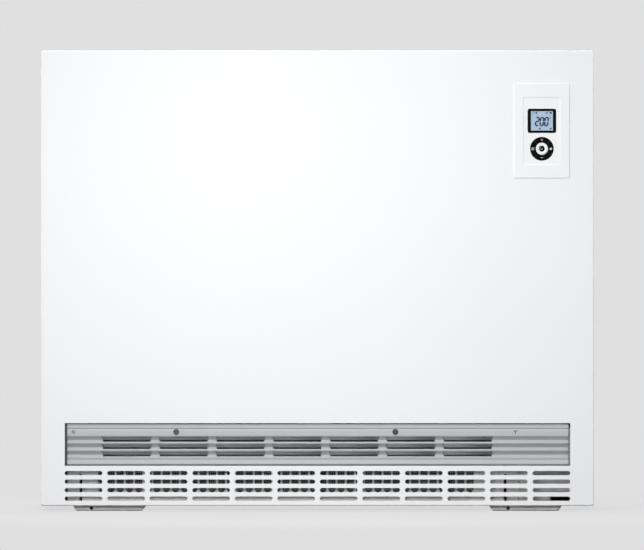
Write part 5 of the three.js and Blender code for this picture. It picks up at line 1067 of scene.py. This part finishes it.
intake_edge = punched(0, SHEET, 0.2)
intakes = [(stadium((x, intake_z), *INTAKE_SIZE, upright=True), intake_edge) for x in intake_x]
intake_sheet = stood(plate(outlined(front_outline), punched(0, SHEET, 0.15), intakes), "front", front)
half = SHEET / 2
tray_line = [
    (front + SHEET, lip_top - half), (drawer_low[1] + half, lip_top - half),
    (drawer_low[1] + half, bottom + half), (rear - half, bottom + half), (rear - half, bottom + DRAWER_REAR),
]
tray = carried(thick(rounded_line(tray_line, 1.2), SHEET), (left, right), "x")
cheeks = [
    slab((x, front + SHEET, bottom), (x + SHEET, rear, bottom + DRAWER_SIDE)) for x in (left, right - SHEET)
]
drawer = joined(intake_sheet, tray, *cheeks)
make("fan_drawer_skin", drawer, "casing", zinc_inside, ["fan_drawer"])

# %% [markdown]
# The filter's frame holds a woven net. Its threads are too fine to count from a step away, so they are
# plain square bars, all made at once: the corners of one bar, scaled and moved to each thread's place.
# %% Filter net
NET_PITCH, THREAD = 3.0, 0.7
NET_INSET = np.array([3, 0.9, 3])  # from the frame's outside to the net
net_low, net_high = limits("fluff_filter") + np.array([NET_INSET, -NET_INSET])


def threads(low, high, axis):
    """Bars across a rectangle, one per pitch: corner = low + share · size, where a bar's own span is one
    thread wide on the axis that it is counted along."""
    places = np.arange(low[axis] + NET_PITCH, high[axis] - THREAD, NET_PITCH)
    starts = np.tile(low, (len(places), 1))
    ends = np.tile(high, (len(places), 1))
    starts[:, axis], ends[:, axis] = places, places + THREAD
    return joined(*[slab(start, end) for start, end in zip(starts, ends)])


net = joined(threads(net_low, net_high - [0, 0.6, 0], 0), threads(net_low + [0, 0.5, 0], net_high, 2))
make("filter_net", net, "casing", grey_thread)

# %% [markdown]
# The feet are pressed pans with sloping walls. A wall closes each end, and the front one has a hole for
# a fixing. A tapered box would give the outline, but the same folded line as before, carried from front
# to rear, also gives the sheet its thickness and its bends.
# %% Feet
FOOT_SHEET, FOOT_TOP, FOOT_BOTTOM = 1.5, 102.5, 94.5
FOOT_HOLE, FOOT_HOLE_RADIUS = (-25.0, 4.0), 2.4
FOOT_WALL_IN, FOOT_WALL_FLOOR = 1.0, 0.2  # the end walls stand just inside the pan
foot_edge = punched(0, FOOT_SHEET, 0.2)
half = FOOT_SHEET / 2
for side in ("left", "right"):
    low, high = limits(f"foot_{side}")
    middle = (low[0] + high[0]) / 2
    pan_line = [
        (middle - FOOT_TOP / 2 + half, high[2]), (middle - FOOT_BOTTOM / 2 + half, half),
        (middle + FOOT_BOTTOM / 2 - half, half), (middle + FOOT_TOP / 2 - half, high[2]),
    ]
    pan = carried(thick(rounded_line(pan_line, 2), FOOT_SHEET), (low[1], high[1]), "y")
    below, above = FOOT_BOTTOM / 2 - FOOT_WALL_IN, FOOT_TOP / 2 - FOOT_WALL_IN
    closing = outlined([
        (middle - below, FOOT_WALL_FLOOR), (middle + below, FOOT_WALL_FLOOR),
        (middle + above, high[2]), (middle - above, high[2]),
    ])
    hole = (ring((middle + FOOT_HOLE[0], FOOT_HOLE[1]), FOOT_HOLE_RADIUS, 32), foot_edge)
    front_wall = stood(plate(closing, foot_edge, [hole]), "front", low[1])
    rear_wall = stood(plate(closing, foot_edge), "front", high[1] - FOOT_SHEET)
    foot_skin = joined(pan, front_wall, rear_wall)
    make(f"foot_{side}_skin", foot_skin, "casing", zinc_feet_painted_light, [f"foot_{side}"])

# %% [markdown]
# ## Floor
# The heater stands on a pale light table: a disc that glows a little less than the backdrop, and the lamps
# make up the rest, so only a faint contact shadow is left on it. It fades into the backdrop with the
# distance from the middle, so that the photograph's plain ground stays plain. A plane that is only lit
# would show an edge at its horizon.
# %% Floor
FLOOR_RADIUS = 1100.0
FADE = (0.55, 1.05)  # metres from the middle
floor_finish = finish(
    "floor", 0.08, 0.075, 3, 300, 0.01, (0.8, 0.9), Specular_IOR_Level=0.0, Emission_Color=(1, 1, 1, 1),
    Emission_Strength=0.66,
)
floor_tree = floor_finish.node_tree
place = add_node(floor_tree, "ShaderNodeTexCoord")
away = add_node(floor_tree, "ShaderNodeVectorMath", {"operation": "LENGTH"})
fade = add_node(floor_tree, "ShaderNodeMapRange", {"interpolation_type": "SMOOTHSTEP"})
for socket, value in zip(("From Min", "From Max", "To Min", "To Max"), (*FADE, 1.0, 0.0)):
    fade.inputs[socket].default_value = value
floor_tree.links.new(place.outputs["Object"], away.inputs[0])
floor_tree.links.new(away.outputs["Value"], fade.inputs["Value"])
floor_tree.links.new(fade.outputs["Result"], floor_tree.nodes["Principled BSDF"].inputs["Alpha"])
floor_mesh = bpy.data.meshes.new("floor")
rim_points, _ = ring((0, 0), FLOOR_RADIUS, 96)
floor_points = np.column_stack([rim_points, np.zeros(len(rim_points))]) * MM
floor_mesh.from_pydata(floor_points, [], [range(len(floor_points))])
floor_mesh.materials.append(floor_finish)
for_the_camera_only(bpy.data.objects.new("floor", floor_mesh))
print("floor:", len(floor_points), "points")
